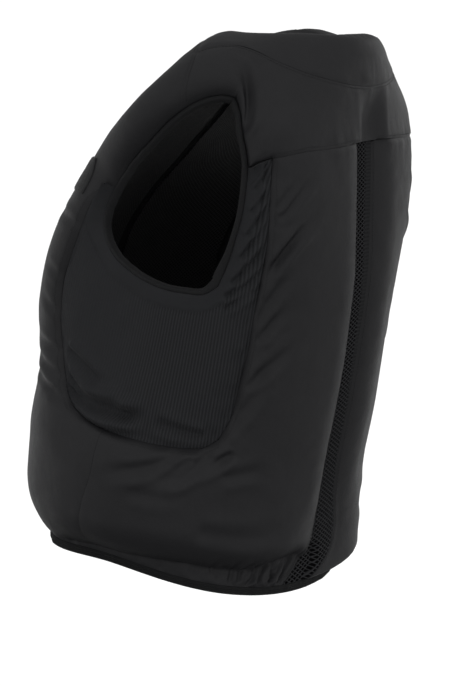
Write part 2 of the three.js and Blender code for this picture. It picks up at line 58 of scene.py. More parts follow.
# t, half width, front y, back y, front z, side z, back z, front roundness, back roundness, centre y
RINGS = np.array([
    [0.00, 184, -160, 158, 3, 5, -5, 2.20, 2.05, -20],
    [0.10, 195, -178, 154, 60, 62, 60, 2.40, 1.92, -20],
    [0.20, 196, -187, 155, 120, 120, 120, 2.30, 1.85, -18],
    [0.32, 191, -188, 160, 190, 190, 190, 2.20, 1.95, -15],
    [0.44, 188, -194, 163, 260, 260, 260, 2.40, 1.98, -10],
    [0.56, 189, -181, 164, 330, 335, 330, 2.40, 2.05, -5],
    [0.68, 195, -146, 157, 395, 425, 400, 2.20, 2.32, 5],
    [0.80, 181, -97, 149, 455, 505, 465, 2.40, 2.35, 15],
    [0.90, 140, -56, 140, 500, 548, 520, 2.20, 2.06, 20],
    [1.00, 76, -28, 130, 553, 565, 575, 2.10, 2.20, 20],
], float)

# seams of the left half as (angle, t)
YOKE_MID = [(16.5, 0.810), (31, 0.802), (43, 0.791), (52, 0.771)]
YOKE_SIDE = [(52, 0.771), (55.5, 0.758), (58.3, 0.743)]
REAR_UP = [(52.9, 0.277), (50, 0.313), (48.8, 0.378), (47.9, 0.43), (47.7, 0.51), (47.4, 0.594), (49, 0.67), (50.4, 0.716), (52, 0.771)]
REAR_LOW = [(52.9, 0.277), (57.3, 0.261), (65, 0.257), (72, 0.258), (82, 0.262), (93, 0.267)]
FRONT_LOW = [(93, 0.267), (100, 0.272), (108, 0.285)]
FRONT_UP = [(108, 0.285), (113.5, 0.302), (118, 0.33), (121.8, 0.37), (125.8, 0.445), (126.8, 0.49), (125, 0.54), (123.2, 0.58), (122.4, 0.61), (121.2, 0.642), (117.8, 0.674)]
ARM_REAR = [(58.3, 0.743), (57.3, 0.70), (57.1, 0.655), (58, 0.611), (59.2, 0.572), (61.4, 0.538)]
ARM_LOW = [(61.4, 0.538), (65.5, 0.523), (74, 0.519), (84, 0.521), (94, 0.531), (104, 0.550)]
ARM_FRONT = [(104, 0.550), (111.5, 0.576), (116.8, 0.606), (118.6, 0.64)]
ARM_TIP = [(118.6, 0.64), (117.8, 0.674)]
ARM_STRAP = [(117.8, 0.674), (112.5, 0.705), (100, 0.745), (93, 0.780), (88.3, 0.811)]
ARM_TOP = [(70, 0.863), (75, 0.859), (82, 0.840), (88.3, 0.811)]
ARM_BACK = [(58.3, 0.743), (60, 0.770), (62.8, 0.802), (66, 0.839), (70, 0.863)]
SHOULDER_LOW = [(88.3, 0.811), (89.2, 0.848), (90.5, 0.879), (92.7, 0.901)]
SHOULDER_TOP = [(92.7, 0.901), (99, 0.945), (108, 1.0)]
COLLAR_SIDE = [(63.5, 0.929), (71, 0.934), (78.6, 0.934), (86, 0.922), (92.7, 0.901)]
COLLAR_MID = [(0, 0.911), (26, 0.914), (47, 0.919), (63.5, 0.929)]
SIDE_SEAM = [(95.8, HEM_T), (95.3, 0.08), (94.3, 0.137), (92.5, 0.19), (93, 0.267)]
HEM_REAR_TURN, HEM_FRONT_TURN = 52.0, 112.0
STRIPE_HALF = 15.5
# where the strip's two edges hang at its lower end, as worn: t, then the angle
HANG_LEFT = np.array([(0.0135, 19), (0.025, 15.6), (0.04, 12.5), (0.061, 9.2), (0.085, 6.8), (0.11, 5.8), (0.15, 5.2), (0.2, 5.1)])
HANG_RIGHT = np.array([(0.0135, 8), (0.025, 2.5), (0.038, -3.2), (0.05, -6.5), (0.065, -9), (0.09, -10.2), (0.11, -9.5), (0.15, -6.5), (0.2, -5.1)])
ACROSS_BACK = [0, 0.06, 0.16, 0.34, 0.58, 0.82, 1]
ACROSS_FRONT = [0, 0.07, 0.18, 0.38, 0.62, 0.82, 0.93, 1]
LOW_ROWS = [0, 0.06, 0.16, 0.34, 0.64, 1]

# Folds seen in the cloth, as runs of (angle, t), with how deep (mm) and how wide (mm) each is
BACK_FOLDS = [
    ([(36.4, .766), (42.0, .715), (46.4, .664)], 2.6, 4.0),
    ([(41.6, .757), (45.2, .718), (48.0, .680)], 2.2, 3.5),
    ([(32.4, .700), (38.4, .653), (42.8, .610), (45.6, .566)], 3.0, 4.5),
    ([(37.6, .668), (41.6, .625), (45.2, .583)], 2.2, 4.0),
    ([(36.8, .599), (41.2, .559), (45.2, .515), (47.6, .480)], 2.8, 4.5),
    ([(36.4, .533), (41.6, .499), (46.0, .454)], 2.4, 4.5),
    ([(30.4, .481), (36.8, .442), (43.6, .401), (48.0, .370)], 2.6, 5.0),
    ([(43.3, .463), (42.9, .419), (43.5, .374), (47.5, .328), (52.9, .281)], 2.4, 5.5),
    ([(75.0, .200), (65.2, .208), (59.6, .233), (54.0, .260)], 4.2, 5.5),
    ([(62.0, .212), (56.0, .230), (52.0, .244), (47.6, .262)], 3.4, 4.5),
    ([(72.0, .198), (68.4, .214), (64.4, .230), (60.8, .248)], 3.4, 4.5),
    ([(92.0, .196), (86.0, .202), (75.2, .220), (66.0, .240)], 3.2, 6.0),
    ([(34.4, .232), (43.2, .224), (51.2, .212)], 1.8, 6.0),
    ([(60.4, .188), (68.0, .175), (75.2, .172), (80.0, .170)], 1.2, 6.5),
    ([(22.0, .120), (40.0, .105), (58.0, .118)], 2.0, 9.0),
]
RIB_FOLDS = [
    ([(51.6, .755), (52.8, .728), (54.4, .703)], 2.8, 3.0),
    ([(50.4, .734), (51.6, .698), (54.4, .662)], 2.8, 3.0),
    ([(49.2, .698), (51.6, .656), (54.4, .617)], 3.2, 3.2),
    ([(49.2, .662), (51.6, .620), (55.2, .581)], 3.0, 3.2),
    ([(48.0, .614), (51.6, .578), (57.2, .541)], 3.4, 3.4),
    ([(47.6, .581), (52.0, .548), (59.2, .520)], 3.2, 3.4),
    ([(48.2, .552), (52.5, .528), (58.5, .500)], 2.4, 3.4),
    ([(77.6, .304), (87.2, .299), (97.6, .296), (108.4, .302), (118.4, .320)], 10.5, 5.5),
    ([(86.0, .318), (96.4, .311), (106.8, .316), (117.0, .340)], 8.0, 5.0),
    ([(80.0, .268), (90.0, .268), (100.4, .274), (107.0, .285)], 4.0, 4.5),
    ([(77.2, .300), (68.0, .288), (57.0, .280)], 3.6, 5.0),
    ([(97.0, .335), (104.0, .350), (111.0, .366), (118.5, .378)], 3.6, 5.0),
]
FRONT_FOLDS = [
    ([(142.0, .400), (137.6, .383), (121.6, .367), (112.8, .343)], 2.0, 4.5),
    ([(142.0, .360), (136.4, .347), (124.8, .334), (114.8, .322)], 1.8, 4.0),
    ([(144.0, .325), (137.2, .314), (127.2, .307), (116.4, .299)], 1.8, 4.0),
    ([(136.0, .306), (130.4, .298), (114.8, .296), (106.0, .289)], 1.6, 4.5),
    ([(138.0, .466), (131.2, .449), (121.6, .427), (116.0, .401)], 1.5, 4.5),
    ([(144.0, .620), (137.6, .608), (121.2, .595), (114.4, .575)], 1.5, 4.5),
    ([(140.0, .515), (123.9, .493), (119.3, .466)], 1.2, 4.5),
]
HEM_FOLDS = [
    ([(11.5, .075), (11.4, .057), (11.7, .036), (9.6, .015)], 4.2, 2.3),
    ([(7.0, .075), (6.6, .057), (7.5, .034), (5.6, .013)], 3.0, 2.2),
    ([(22.6, .060), (22.8, .048), (23.4, .039), (21.6, .018)], 3.8, 2.4),
    ([(20.6, .058), (18.9, .049), (17.4, .034), (14.1, .015)], 3.2, 2.2),
    ([(31.4, .064), (31.8, .052), (33.4, .040), (31.2, .018)], 3.0, 2.6),
    ([(38.5, .066), (37.5, .042), (36.3, .018)], 2.2, 2.6),
    ([(28.8, .056), (27.6, .046), (26.4, .033), (26.8, .015)], 3.4, 2.2),
    ([(45.3, .066), (46.6, .047), (45.6, .024)], 1.8, 2.8),
    ([(13.0, .066), (14.4, .051), (15.6, .041), (17.0, .018)], 2.8, 2.2),
]
YOKE_FOLDS = [
    ([(75.2, .920), (69.6, .890), (65.6, .863), (63.6, .838), (62.8, .796)], 9.0, 3.6),
    ([(79.2, .913), (72.8, .889), (69.2, .865)], 2.4, 4.5),
    ([(58.8, .830), (59.4, .793), (57.6, .767)], 1.8, 5.0),
    ([(80.9, .914), (71.7, .919), (63.2, .909)], 1.4, 4.5),
]


# ---------------------------------------------------------------- small helpers
def mix(a, b, k):
    return a + (b - a) * k


def smooth(a, b, v):
    k = np.clip((np.asarray(v, float) - a) / (b - a), 0, 1)
    return k * k * (3 - 2 * k)


def even(n):
    return np.linspace(0, 1, n + 1)


def divide(marks, length, step):
    """Splits each interval of marks so that no piece of length is longer than step."""
    out = [np.array([marks[0]], float)]
    for a, b in zip(marks, marks[1:]):
        n = max(1, int(math.ceil((b - a) * length / step)))
        out.append(np.linspace(a, b, n + 1)[1:])
    return np.concatenate(out)


def paired(f):
    """The same fractions, with one more if need be, so that the intervals come in pairs."""
    return f if len(f) % 2 else np.concatenate([f[:1], [(f[0] + f[1]) / 2], f[1:]])


def slopes(t, v):
    h, n = np.diff(t), len(t)
    d = np.diff(v) / h
    if n == 2:
        return np.array([d[0], d[0]])
    m = np.empty(n)
    m[1:-1] = (d[:-1] * h[1:] + d[1:] * h[:-1]) / (h[:-1] + h[1:])
    m[0], m[-1] = d[0] * 1.5 - m[1] * 0.5, d[-1] * 1.5 - m[-2] * 0.5
    return m


def hermite(t, v, m, x):
    x = np.asarray(x, float)
    i = np.clip(np.searchsorted(t, x, side="left") - 1, 0, len(t) - 2)
    h = t[i + 1] - t[i]
    s = (x - t[i]) / h
    return ((2 * s**3 - 3 * s**2 + 1) * v[i] + (s**3 - 2 * s**2 + s) * h * m[i]
            + (3 * s**2 - 2 * s**3) * v[i + 1] + (s**3 - s**2) * h * m[i + 1])


RING_T = RINGS[:, 0]
RING_M = [slopes(RING_T, RINGS[:, k]) for k in range(1, 10)]


def ring(k, tau):
    return hermite(RING_T, RINGS[:, k + 1], RING_M[k], tau)


def drift(phi, tau):
    """The lower end of the strip hangs to the left; the cloth on both sides follows it."""
    p, a, end = (phi + 180) % 360 - 180, stripe_angle(tau), stripe_angle(0.2)
    left = np.interp(tau, *HANG_LEFT.T) - 5.1 + end - a
    right = np.interp(tau, *HANG_RIGHT.T) + 5.1 - end + a
    inner = mix(right, left, np.clip((p + a) / (2 * a), 0, 1))
    return np.where((tau >= 0.2) | (np.abs(p) >= 60), 0, np.where(p > a, left * (60 - p) / (60 - a), np.where(p < -a, right * (60 + p) / (60 - a), inner)))


def rim_lift(phi):
    p = (phi + 180) % 360 - 180
    return sum(np.where(np.abs(p - at) < reach, high * np.cos(np.radians((p - at) * 90 / reach)) ** 2, 0) for at, reach, high in RIM_LIFTS)


def envelope(p):
    """Points of the padded envelope at (angle, t) pairs."""
    phi, tau = np.radians(p[..., 0] + drift(p[..., 0], p[..., 1])), p[..., 1]
    w, yf, yb, zf, zs, zb, nf, nb, yc = (ring(k, tau) for k in range(9))
    s, c = np.sin(phi), np.cos(phi)
    back = c > 0
    deep, n = np.where(back, yb - yc, yc - yf), np.where(back, nb, nf)
    r = (np.abs(s / w) ** n + np.abs(c / deep) ** n) ** (-1 / n)
    q = np.abs(r * c / deep)
    lift = smooth(0.86, 1, tau) * rim_lift(p[..., 0])
    return np.stack([r * s, yc + r * c - REST_Y, zs + (np.where(back, zb, zf) - zs) * q * q * (2 - q) + lift - REST_Z], -1)


def unit(v):
    return v / np.maximum(np.linalg.norm(v, axis=-1, keepdims=True), 1e-12)


def outward(p):
    e, f = np.array([0.05, 0]), 0.001
    up, low = p.copy(), p.copy()
    up[..., 1] = np.minimum(1, up[..., 1] + f)
    low[..., 1] = np.maximum(0, low[..., 1] - f)
    return unit(np.cross(envelope(up) - envelope(low), envelope(p + e) - envelope(p - e)))


def back_deep(tau):
    return ring(2, tau) - ring(8, tau)


def front_deep(tau):
    return ring(8, tau) - ring(1, tau)


def stripe_angle(tau):
    return np.degrees(np.arctan(STRIPE_HALF / back_deep(tau)))


def zip_angle(tau):
    return 180 - np.degrees(np.arctan(ZIP_HALF / front_deep(tau)))


METRIC = np.array([3.0, 580.0])


def run(table, fractions):
    table = np.array(table, float)
    length = np.concatenate([[0], np.cumsum(np.linalg.norm(np.diff(table, axis=0) * METRIC, axis=1))])
    x = np.asarray(fractions, float) * length[-1]
    out = np.stack([hermite(length, table[:, k], slopes(length, table[:, k]), x) for k in (0, 1)], -1)
    out[0], out[-1] = table[0], table[-1]
    return out


def mirror(a):
    return a * np.array([-1.0, 1.0])


def join(*lists):
    return np.concatenate([lists[0]] + [a[1:] for a in lists[1:]])


def turned(a):
    return a[::-1]


def fill(base, top, left, right):
    """Fills the space between four runs: base and top left to right, left and right base to top."""
    def part(a):
        l = np.concatenate([[0], np.cumsum(np.linalg.norm(np.diff(a, axis=0) * METRIC, axis=1))])
        return l / l[-1]
    ub, ut, vl, vr = part(base)[None, :], part(top)[None, :], part(left)[:, None], part(right)[:, None]
    u = (ub + ut) / 2
    v = mix(vl, vr, u)
    u = mix(ub, ut, v)
    u, v = u[..., None], v[..., None]
    g = ((1 - u) * left[:, None] + u * right[:, None] + (1 - v) * base[None] + v * top[None]
         - (1 - u) * (1 - v) * base[0] - u * (1 - v) * base[-1] - (1 - u) * v * top[0] - u * v * top[-1])
    g[0], g[-1], g[:, 0], g[:, -1] = base, top, left, right
    return g


def noise(q, seed):
    """Smooth value noise, -1 to 1, at points q of any number of columns."""
    q = np.asarray(q, float)
    cell = np.floor(q)
    f = q - cell
    f = f * f * f * (f * (f * 6 - 15) + 10)
    cell = cell.astype(np.int64)
    total = 0
    for corner in range(2 ** q.shape[-1]):
        h, w = np.full(q.shape[:-1], seed * 7919 + 101, np.int64), 1.0
        for k in range(q.shape[-1]):
            bit = corner >> k & 1
            h = (h ^ ((cell[..., k] + bit) * (73856093, 19349663, 83492791)[k])) & 0x7FFFFFFF
            h = (h * 48271 + 12345) & 0x7FFFFFFF
            w = w * (f[..., k] if bit else 1 - f[..., k])
        h = ((h ^ (h >> 15)) * 2246822519) & 0x7FFFFFFF
        h = ((h ^ (h >> 13)) * 3266489917) & 0x7FFFFFFF
        total = total + w * ((h & 0xFFFF) / 32767.5 - 1)
    return total


def nearest(points, lines):
    """Distance from each point to the nearest of some polylines, how far along it that is, and which share of it."""
    best = np.full(len(points), np.inf)
    along, share = np.zeros(len(points)), np.zeros(len(points))
    for number, line in enumerate(lines):
        a, d = line[:-1], np.diff(line, axis=0)
        size = np.linalg.norm(d, axis=1)
        start = np.concatenate([[0], np.cumsum(size)])
        for i in range(len(a)):
            if size[i] < 1e-9:
                continue
            k = np.clip((points - a[i]) @ d[i] / size[i] ** 2, 0, 1)
            gap = ((points - a[i] - k[:, None] * d[i]) ** 2).sum(1)
            hit = gap < best
            best[hit] = gap[hit]
            along[hit] = start[i] + k[hit] * size[i] + 5000 * number
            share[hit] = (start[i] + k[hit] * size[i]) / start[-1]
    return np.sqrt(best), along, share


# ---------------------------------------------------------------- seam runs, fine
STEP = 2.3
K = 9
F_LOW = paired(divide(LOW_ROWS, 155, STEP))
F_REAR, F_TURN, F_FTURN, F_FRONT = even(130), even(56), even(20), even(110)
F_STRAP, F_TOP, F_BACK, F_LOWS, F_TOPS, F_BAND = even(52), even(30), even(34), even(26), even(26), even(16)
F_ACROSS_BACK, F_ACROSS_FRONT = paired(divide(ACROSS_BACK, 150, STEP)), paired(divide(ACROSS_FRONT, 200, 2.6))

yoke_mid = run([(float(stripe_angle(YOKE_TOP_MID)), YOKE_TOP_MID)] + YOKE_MID, F_ACROSS_BACK)
yoke_side = run(YOKE_SIDE, F_BAND)
rear_up, rear_low = run(REAR_UP, F_REAR), run(REAR_LOW, F_TURN)
front_low, front_up = run(FRONT_LOW, F_FTURN), run(FRONT_UP, F_FRONT)
arm_rear, arm_low, arm_front = run(ARM_REAR, F_REAR), run(ARM_LOW, even(len(F_TURN) + len(F_FTURN) - 2)), run(ARM_FRONT, F_FRONT)
arm_tip, arm_strap, arm_top, arm_back = run(ARM_TIP, F_BAND), run(ARM_STRAP, F_STRAP), run(ARM_TOP, F_TOP), run(ARM_BACK, F_BACK)
shoulder_low, shoulder_top = run(SHOULDER_LOW, F_LOWS), run(SHOULDER_TOP, F_TOPS)
collar_side = run(COLLAR_SIDE, F_TOP)
yoke_column = run([ARM_TOP[0], COLLAR_SIDE[0]], F_LOWS)
side_seam = run(SIDE_SEAM, F_LOW)
rear_column = run([(HEM_REAR_TURN, HEM_T), (52.4, 0.15), REAR_LOW[0]], F_LOW)
front_column = run([(HEM_FRONT_TURN, HEM_T), (110.5, 0.15), FRONT_UP[0]], F_LOW)
stripe_rows = np.concatenate([mix(HEM_T, REAR_UP[0][1], F_LOW), mix(REAR_UP[0][1], YOKE_TOP_MID, F_REAR)[1:]])
stripe_edge = np.stack([stripe_angle(stripe_rows), stripe_rows], -1)
front_side = join(front_column, front_up, arm_strap, shoulder_low, shoulder_top)
zip_edge = np.stack([zip_angle(front_side[:, 1]), front_side[:, 1]], -1)


def level(a, b, fractions, tau):
    return np.stack([mix(a, b, np.asarray(fractions)), np.full(len(fractions), float(tau))], -1)


hem_rear = level(stripe_edge[0, 0], HEM_REAR_TURN, F_ACROSS_BACK, HEM_T)
hem_side = level(HEM_REAR_TURN, SIDE_SEAM[0][0], F_TURN, HEM_T)
hem_turn = level(SIDE_SEAM[0][0], HEM_FRONT_TURN, F_FTURN, HEM_T)
hem_front = level(zip_edge[0, 0], HEM_FRONT_TURN, F_ACROSS_FRONT, HEM_T)
neck_front = level(zip_edge[-1, 0], 108, F_ACROSS_FRONT, 1)
middle = level(-yoke_mid[0, 0], yoke_mid[0, 0], even(12), YOKE_TOP_MID)
yoke_base = join(turned(mirror(yoke_side)), turned(mirror(yoke_mid)), middle, yoke_mid, yoke_side)
collar_mid = run(COLLAR_MID, even((len(yoke_base) - 1) // 2))
collar_top = join(turned(mirror(collar_mid)), collar_mid)
collar_base = join(turned(mirror(collar_side)), collar_top, collar_side)
neck_back = level(-108, 108, even(len(collar_base) - 1), 1)


def coarse(a, step=7.0):
    """The envelope's line along a run, with a point about every step millimetres."""
    line = envelope(a)
    n = max(2, int(np.linalg.norm(np.diff(line, axis=0), axis=1).sum() / step))
    return line[np.unique(np.linspace(0, len(line) - 1, n + 1).round().astype(int))]


def both(a):
    return coarse(a), coarse(mirror(a))


LINES = {
    "stripe": both(stripe_edge),
    "side": both(join(turned(yoke_side), turned(rear_up), rear_low, front_low, front_up)),
    "arm": both(join(arm_strap, turned(arm_top), turned(arm_back))),
    "arm_low": both(join(arm_rear, arm_low, arm_front, arm_tip)),
    "zip": both(zip_edge),
    "hem": both(join(hem_rear, hem_side, hem_turn, turned(hem_front))),
    "neck": both(join(neck_back[(len(neck_back) - 1) // 2:], turned(neck_front))),
    "yoke": both(yoke_mid),
    "collar": both(join(collar_mid, collar_side)),
    "shoulder": both(join(shoulder_low, shoulder_top)),
    "side_seam": both(side_seam),
}


def lines(name, side):
    a, b = LINES[name]
    return [a] if side > 0 else [b] if side < 0 else [a, b]


# ---------------------------------------------------------------- depth of the outer cloth
def pad_at(tau):
    return mix(PAD, PAD_NECK, smooth(0.72, 1, tau))


def roll(d, r):
    k = np.clip(1 - d / r, 0, 1)
    return 1 - np.sqrt(1 - k * k)


def groove(d, r):
    return np.clip(1 - d / r, 0, 1) ** 2


def hem_depth(phi):
    c = np.cos(np.radians(phi))
    return np.where(c > 0, mix(HEM_SIDE, HEM_BACK, c * c), mix(HEM_SIDE, HEM_FRONT, smooth(0, 0.55, -c)))


def full(phi):
    """The right chamber hangs full to its lower edge, as worn."""
    return smooth(-4, 5, -phi) * (1 - smooth(58, 75, -phi))


def skirt(phi):
    c = np.cos(np.radians(phi))
    high = np.where(c > 0, mix(SKIRT_SIDE, SKIRT_BACK, smooth(0, 0.6, c)), mix(SKIRT_SIDE, SKIRT_FRONT, smooth(0, 0.6, -c)))
    return high * (1 - full(phi))


def hem_roll(phi):
    c = np.maximum(0, np.cos(np.radians(phi)))
    return mix(mix(50.0, 32.0, c * c), 14.0, full(phi))


def shoulder_of(d, r):
    """Fall of a chamber beside the spine strip."""
    return np.clip(1 - d / r, 0, 1) ** 2.2


def lower_depth(p, at, hem, strip):
    """How far the cloth is drawn in above the band, and how high the gathers reach: higher beside the strip."""
    high = skirt(p[:, 0]) + 19 * (1 - smooth(0, 60, strip)) * (1 - full(p[:, 0]))
    far, reach = np.maximum(0, hem - high), hem_roll(p[:, 0])
    return hem_depth(p[:, 0]) * (0.25 * roll(far, reach) + 0.75 * groove(far, reach)), high


def creases(p, at, folds, side, ridge=0.6, start=0.5):
    """Soft valleys with a low ridge on each side, along traced runs, fading at the end away from the seam."""
    move = np.zeros(len(p))
    for number, (table, deep, wide) in enumerate(folds):
        for sign in ((side,) if side else (1, -1)):
            line = np.array(table, float) * np.array([sign, 1.0])
            d, _, share = nearest(at, [envelope(run(line, even(14)))])
            taper = smooth(0, start, share) * (1 - smooth(0.88, 1.0, share))
            thin = mix(1.25, 0.85, share) * wide
            move += deep * taper * (ridge * np.exp(-(((d - 1.9 * thin) / thin) ** 2)) - np.exp(-((d / thin) ** 2)))
    return move


def pad_depth(p, side, folds=(), plain=False):
    """Depth of a chamber's outer cloth below the envelope."""
    at, (phi, tau) = envelope(p), p.T
    pad = pad_at(tau)
    near = {k: nearest(at, lines(k, side)) for k in ("hem", "zip", "side", "arm", "neck", "yoke", "collar", "shoulder", "side_seam", "stripe")}
    d = {k: v[0] for k, v in near.items()}
    low, high = lower_depth(p, at, d["hem"], d["stripe"])
    spine = (tau < YOKE_TOP_MID - 1e-6) | (np.abs(phi) > 60)
    valley = np.where(spine, STRIPE_DEPTH * shoulder_of(d["stripe"], 36 + 30 * (1 - smooth(15, 120, d["hem"]))),
                      11 * (1 - smooth(6, 30, np.abs(at[:, 0]))) * (1 - smooth(0.84, 0.93, tau)))
    cuts = [
        ((low**4 + valley**4) ** 0.25 / pad, 1.0),
        (ZIP_DEPTH / pad, roll(d["zip"], 40)),
        (SIDE_DEPTH / pad, roll(d["side"], 52)),
        ((pad - ARM_EDGE) / pad, roll(d["arm"], 40)),
        (0.3, roll(d["neck"], 20)),
    ] + [(deep / pad, groove(d[k], 7)) for k, deep in (("yoke", CREASE), ("collar", CREASE), ("shoulder", CREASE), ("side_seam", 0.5))]
    left = 1.0
    for a, f in cuts:
        left = left * (1 - np.minimum(a, 1) * f)
    depth = pad * (1 - left)
    if not plain:
        front = smooth(100, 112, np.abs(phi))
        move = 2.0 * noise(at / 95, 1) + 0.7 * noise(at / 38, 2) + 0.2 * noise(at / 14, 3)
        for number, (k, high, wave, reach) in enumerate((
            ("side", mix(1.1, 0.15, front), 15, 18), ("stripe", 0.4, 17, 12), ("yoke", 0.9, 12, 11), ("collar", 0.7, 12, 10),
            ("shoulder", 0.7, 12, 11), ("zip", 1.0, 16, 15), ("arm", 0.8, 13, 12), ("side_seam", 0.4, 14, 11))):
            far, along, _ = near[k]
            q = np.stack([along / wave, far / (3.2 * wave)], -1)
            move += high * np.exp(-far / reach) * smooth(0.5, 5, far) * (noise(q, 20 + number) + 0.5 * noise(q * 2.1, 40 + number))
        far, along, _ = near["hem"]
        c = np.maximum(0, np.cos(np.radians(phi)))
        q = np.stack([along / 10 + 0.9 * noise(at / 26, 63), far / 32], -1)
        uneven = 0.8 + 0.5 * noise(at / 45, 64)
        gather = np.exp(-np.maximum(0, far - high) / 10) * smooth(0, 5, far) * (1 - full(phi))
        bend = np.stack([along / 18 + 1.1 * noise(at / 24, 66), far / 46], -1)
        slit = np.exp(-((noise(bend, 67) / 0.3) ** 2))
        move += mix(1.2, 4.0, c) * uneven * gather * (noise(q, 60) + 0.55 * noise(q * 2.1, 61))
        move += mix(0.8, 4.2, smooth(0.5, 0.9, c)) * gather * (0.5 - slit)
        move += creases(p, at, HEM_FOLDS, side, ridge=0.5, start=0.3) * smooth(0, 4, far) * (1 - full(phi)) if folds is BACK_FOLDS else 0
        move += creases(p, at, folds, side, ridge=0.25 if folds is YOKE_FOLDS else 0.6)
        move = np.clip(move, -7, 6) * np.where(spine, smooth(0, 8, d["stripe"]), 1) * smooth(0, 5, d["side"])
        depth = depth - move
    return np.minimum(depth, pad - EDGE)


def rib_depth(p, side, plain=False):
    at, tau = envelope(p), p[:, 1]
    edge, along, _ = nearest(at, lines("side", side))
    hole, _, _ = nearest(at, lines("arm_low", side))
    depth = mix(SIDE_DEPTH, pad_at(tau) - ARM_EDGE, smooth(0, 1, edge / (edge + hole + 1e-9)))
    if plain:
        return depth
    move = 1.6 * noise(at / 60, 5) + 0.7 * noise(at / 24, 6)
    q = np.stack([along / 13, edge / 40], -1)
    move += 1.6 * np.exp(-edge / 18) * smooth(0.5, 5, edge) * (noise(q, 70) + 0.5 * noise(q * 2.2, 71))
    move += creases(p, at, RIB_FOLDS, side, start=0.25)
    # a facing tape is sewn under the armhole edge
    move += 0.9 * (1 - smooth(15, 17, hole)) - 0.8 * np.exp(-(((hole - 17.5) / 1.8) ** 2))
    return depth - move * smooth(0, 4, hole) * smooth(0, 5, edge)


# ---------------------------------------------------------------- meshes
def uv_of(p):
    """Cloth coordinates in metres, nearly true to length."""
    return np.stack([np.radians(p[:, 0] + drift(p[:, 0], p[:, 1])) * mix(ring(0, p[:, 1]), 172.0, 1 - smooth(0.72, 0.9, p[:, 1])), p[:, 1] * 580], -1) * 0.001


def weld(grids):
    """Joins grids of (angle, t) into one set of points and faces."""
    flat = np.concatenate([g.reshape(-1, 2) for g in grids])
    key = np.stack([np.round(flat[:, 0] * 1000), np.round(flat[:, 1] * 100000)], -1).astype(np.int64)
    _, first, back = np.unique(key, axis=0, return_index=True, return_inverse=True)
    back, p, faces, start = back.reshape(-1), flat[first], [], 0
    for g in grids:
        n, m = g.shape[:2]
        i = back[start:start + n * m].reshape(n, m)
        faces.append(np.stack([i[:-1, :-1], i[:-1, 1:], i[1:, 1:], i[1:, :-1]], -1).reshape(-1, 4))
        start += n * m
    faces = np.concatenate(faces)
    q = p[faces]
    area = ((q[:, 2] - q[:, 0])[:, 0] * (q[:, 3] - q[:, 1])[:, 1] - (q[:, 2] - q[:, 0])[:, 1] * (q[:, 3] - q[:, 1])[:, 0])
    faces[area > 0] = faces[area > 0][:, ::-1]
    return p, [list(dict.fromkeys(f)) for f in faces.tolist()]


def solid(grids, outer, inner, gap=GAP, bulge=0.0, rows=1):
    """A closed skin between two depths. The edge wall has some rows, and may bulge by some millimetres."""
    p, faces = weld(grids)
    faces = [f for f in faces if len(f) > 2]
    at, up, n = envelope(p), outward(p), len(p)
    edges = {}
    for f in faces:
        for a, b in zip(f, f[1:] + f[:1]):
            if (b, a) in edges:
                del edges[(b, a)]
            else:
                edges[(a, b)] = True
    rim = np.array(list(edges))
    shift = np.zeros((n, 3))
    for i, j in ((0, 0), (1, 1)):
        np.add.at(shift, rim[:, i], unit(np.cross(up[rim[:, i]], at[rim[:, 1]] - at[rim[:, 0]])))
    size = np.linalg.norm(shift, axis=1, keepdims=True)
    into = np.where(size > 1e-9, shift / np.maximum(size, 1e-9), 0)
    top_d = outer(p)
    low_d = inner(p, top_d)
    base = at + into * gap
    points = [base - up * top_d[:, None], base - up * low_d[:, None]]
    out = list(faces) + [[n + i for i in reversed(f)] for f in faces]
    ids = np.unique(rim)
    place = np.full(n, -1)
    place[ids] = np.arange(len(ids))
    levels = [np.arange(n)]
    for r in range(1, rows):
        s = r / rows
        swell = bulge(p[ids]) if callable(bulge) else np.full(len(ids), bulge)
        points.append(base[ids] - up[ids] * mix(top_d, low_d, s)[ids, None] - into[ids] * (swell * math.sin(math.pi * s) ** 0.8)[:, None])
        levels.append(2 * n + (r - 1) * len(ids) + place)
    levels.append(n + np.arange(n))
    for r in range(rows):
        for a, b in rim:
            out.append([int(levels[r][b]), int(levels[r][a]), int(levels[r + 1][a]), int(levels[r + 1][b])])
    uv = uv_of(p)
    uvs = np.concatenate([uv, uv] + [uv[ids]] * (rows - 1))
    extra = np.concatenate([p, p] + [p[ids]] * (rows - 1))
    swell = bulge(p) if callable(bulge) else np.full(n, bulge)
    sharp = [tuple(sorted((int(a) + o, int(b) + o))) for a, b in rim for o in (0, n) if swell[a] + swell[b] == 0]
    return np.concatenate(points), out, uvs, extra, sharp


def add(name, node, made, material, values=None):
    points, faces, uvs = made[:3]
    mesh = bpy.data.meshes.new(name)
    mesh.from_pydata((points * 0.001).tolist(), [], faces)
    mesh.validate()
    layer = mesh.uv_layers.new(name="UVMap")
    loops = np.empty(len(mesh.loops), np.int32)
    mesh.loops.foreach_get("vertex_index", loops)
    layer.data.foreach_set("uv", uvs[loops].astype(np.float32).ravel())
    mesh.polygons.foreach_set("use_smooth", np.ones(len(mesh.polygons), bool))
    if len(made) > 4:
        wanted = set(made[4])
        ends = np.empty(2 * len(mesh.edges), np.int32)
        mesh.edges.foreach_get("vertices", ends)
        flags = [tuple(sorted(e)) in wanted for e in ends.reshape(-1, 2).tolist()]
        mesh.attributes.new("sharp_edge", "BOOLEAN", "EDGE").data.foreach_set("value", flags)
    for key, v in (values or {}).items():
        mesh.attributes.new(key, "FLOAT", "POINT").data.foreach_set("value", np.asarray(v, np.float32))
    mesh.materials.append(material)
    mesh.update()
    piece = bpy.data.objects.new(name, mesh)
    bpy.context.scene.collection.objects.link(piece)
    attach(piece, "root")
    if node:
        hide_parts(node)
    return piece


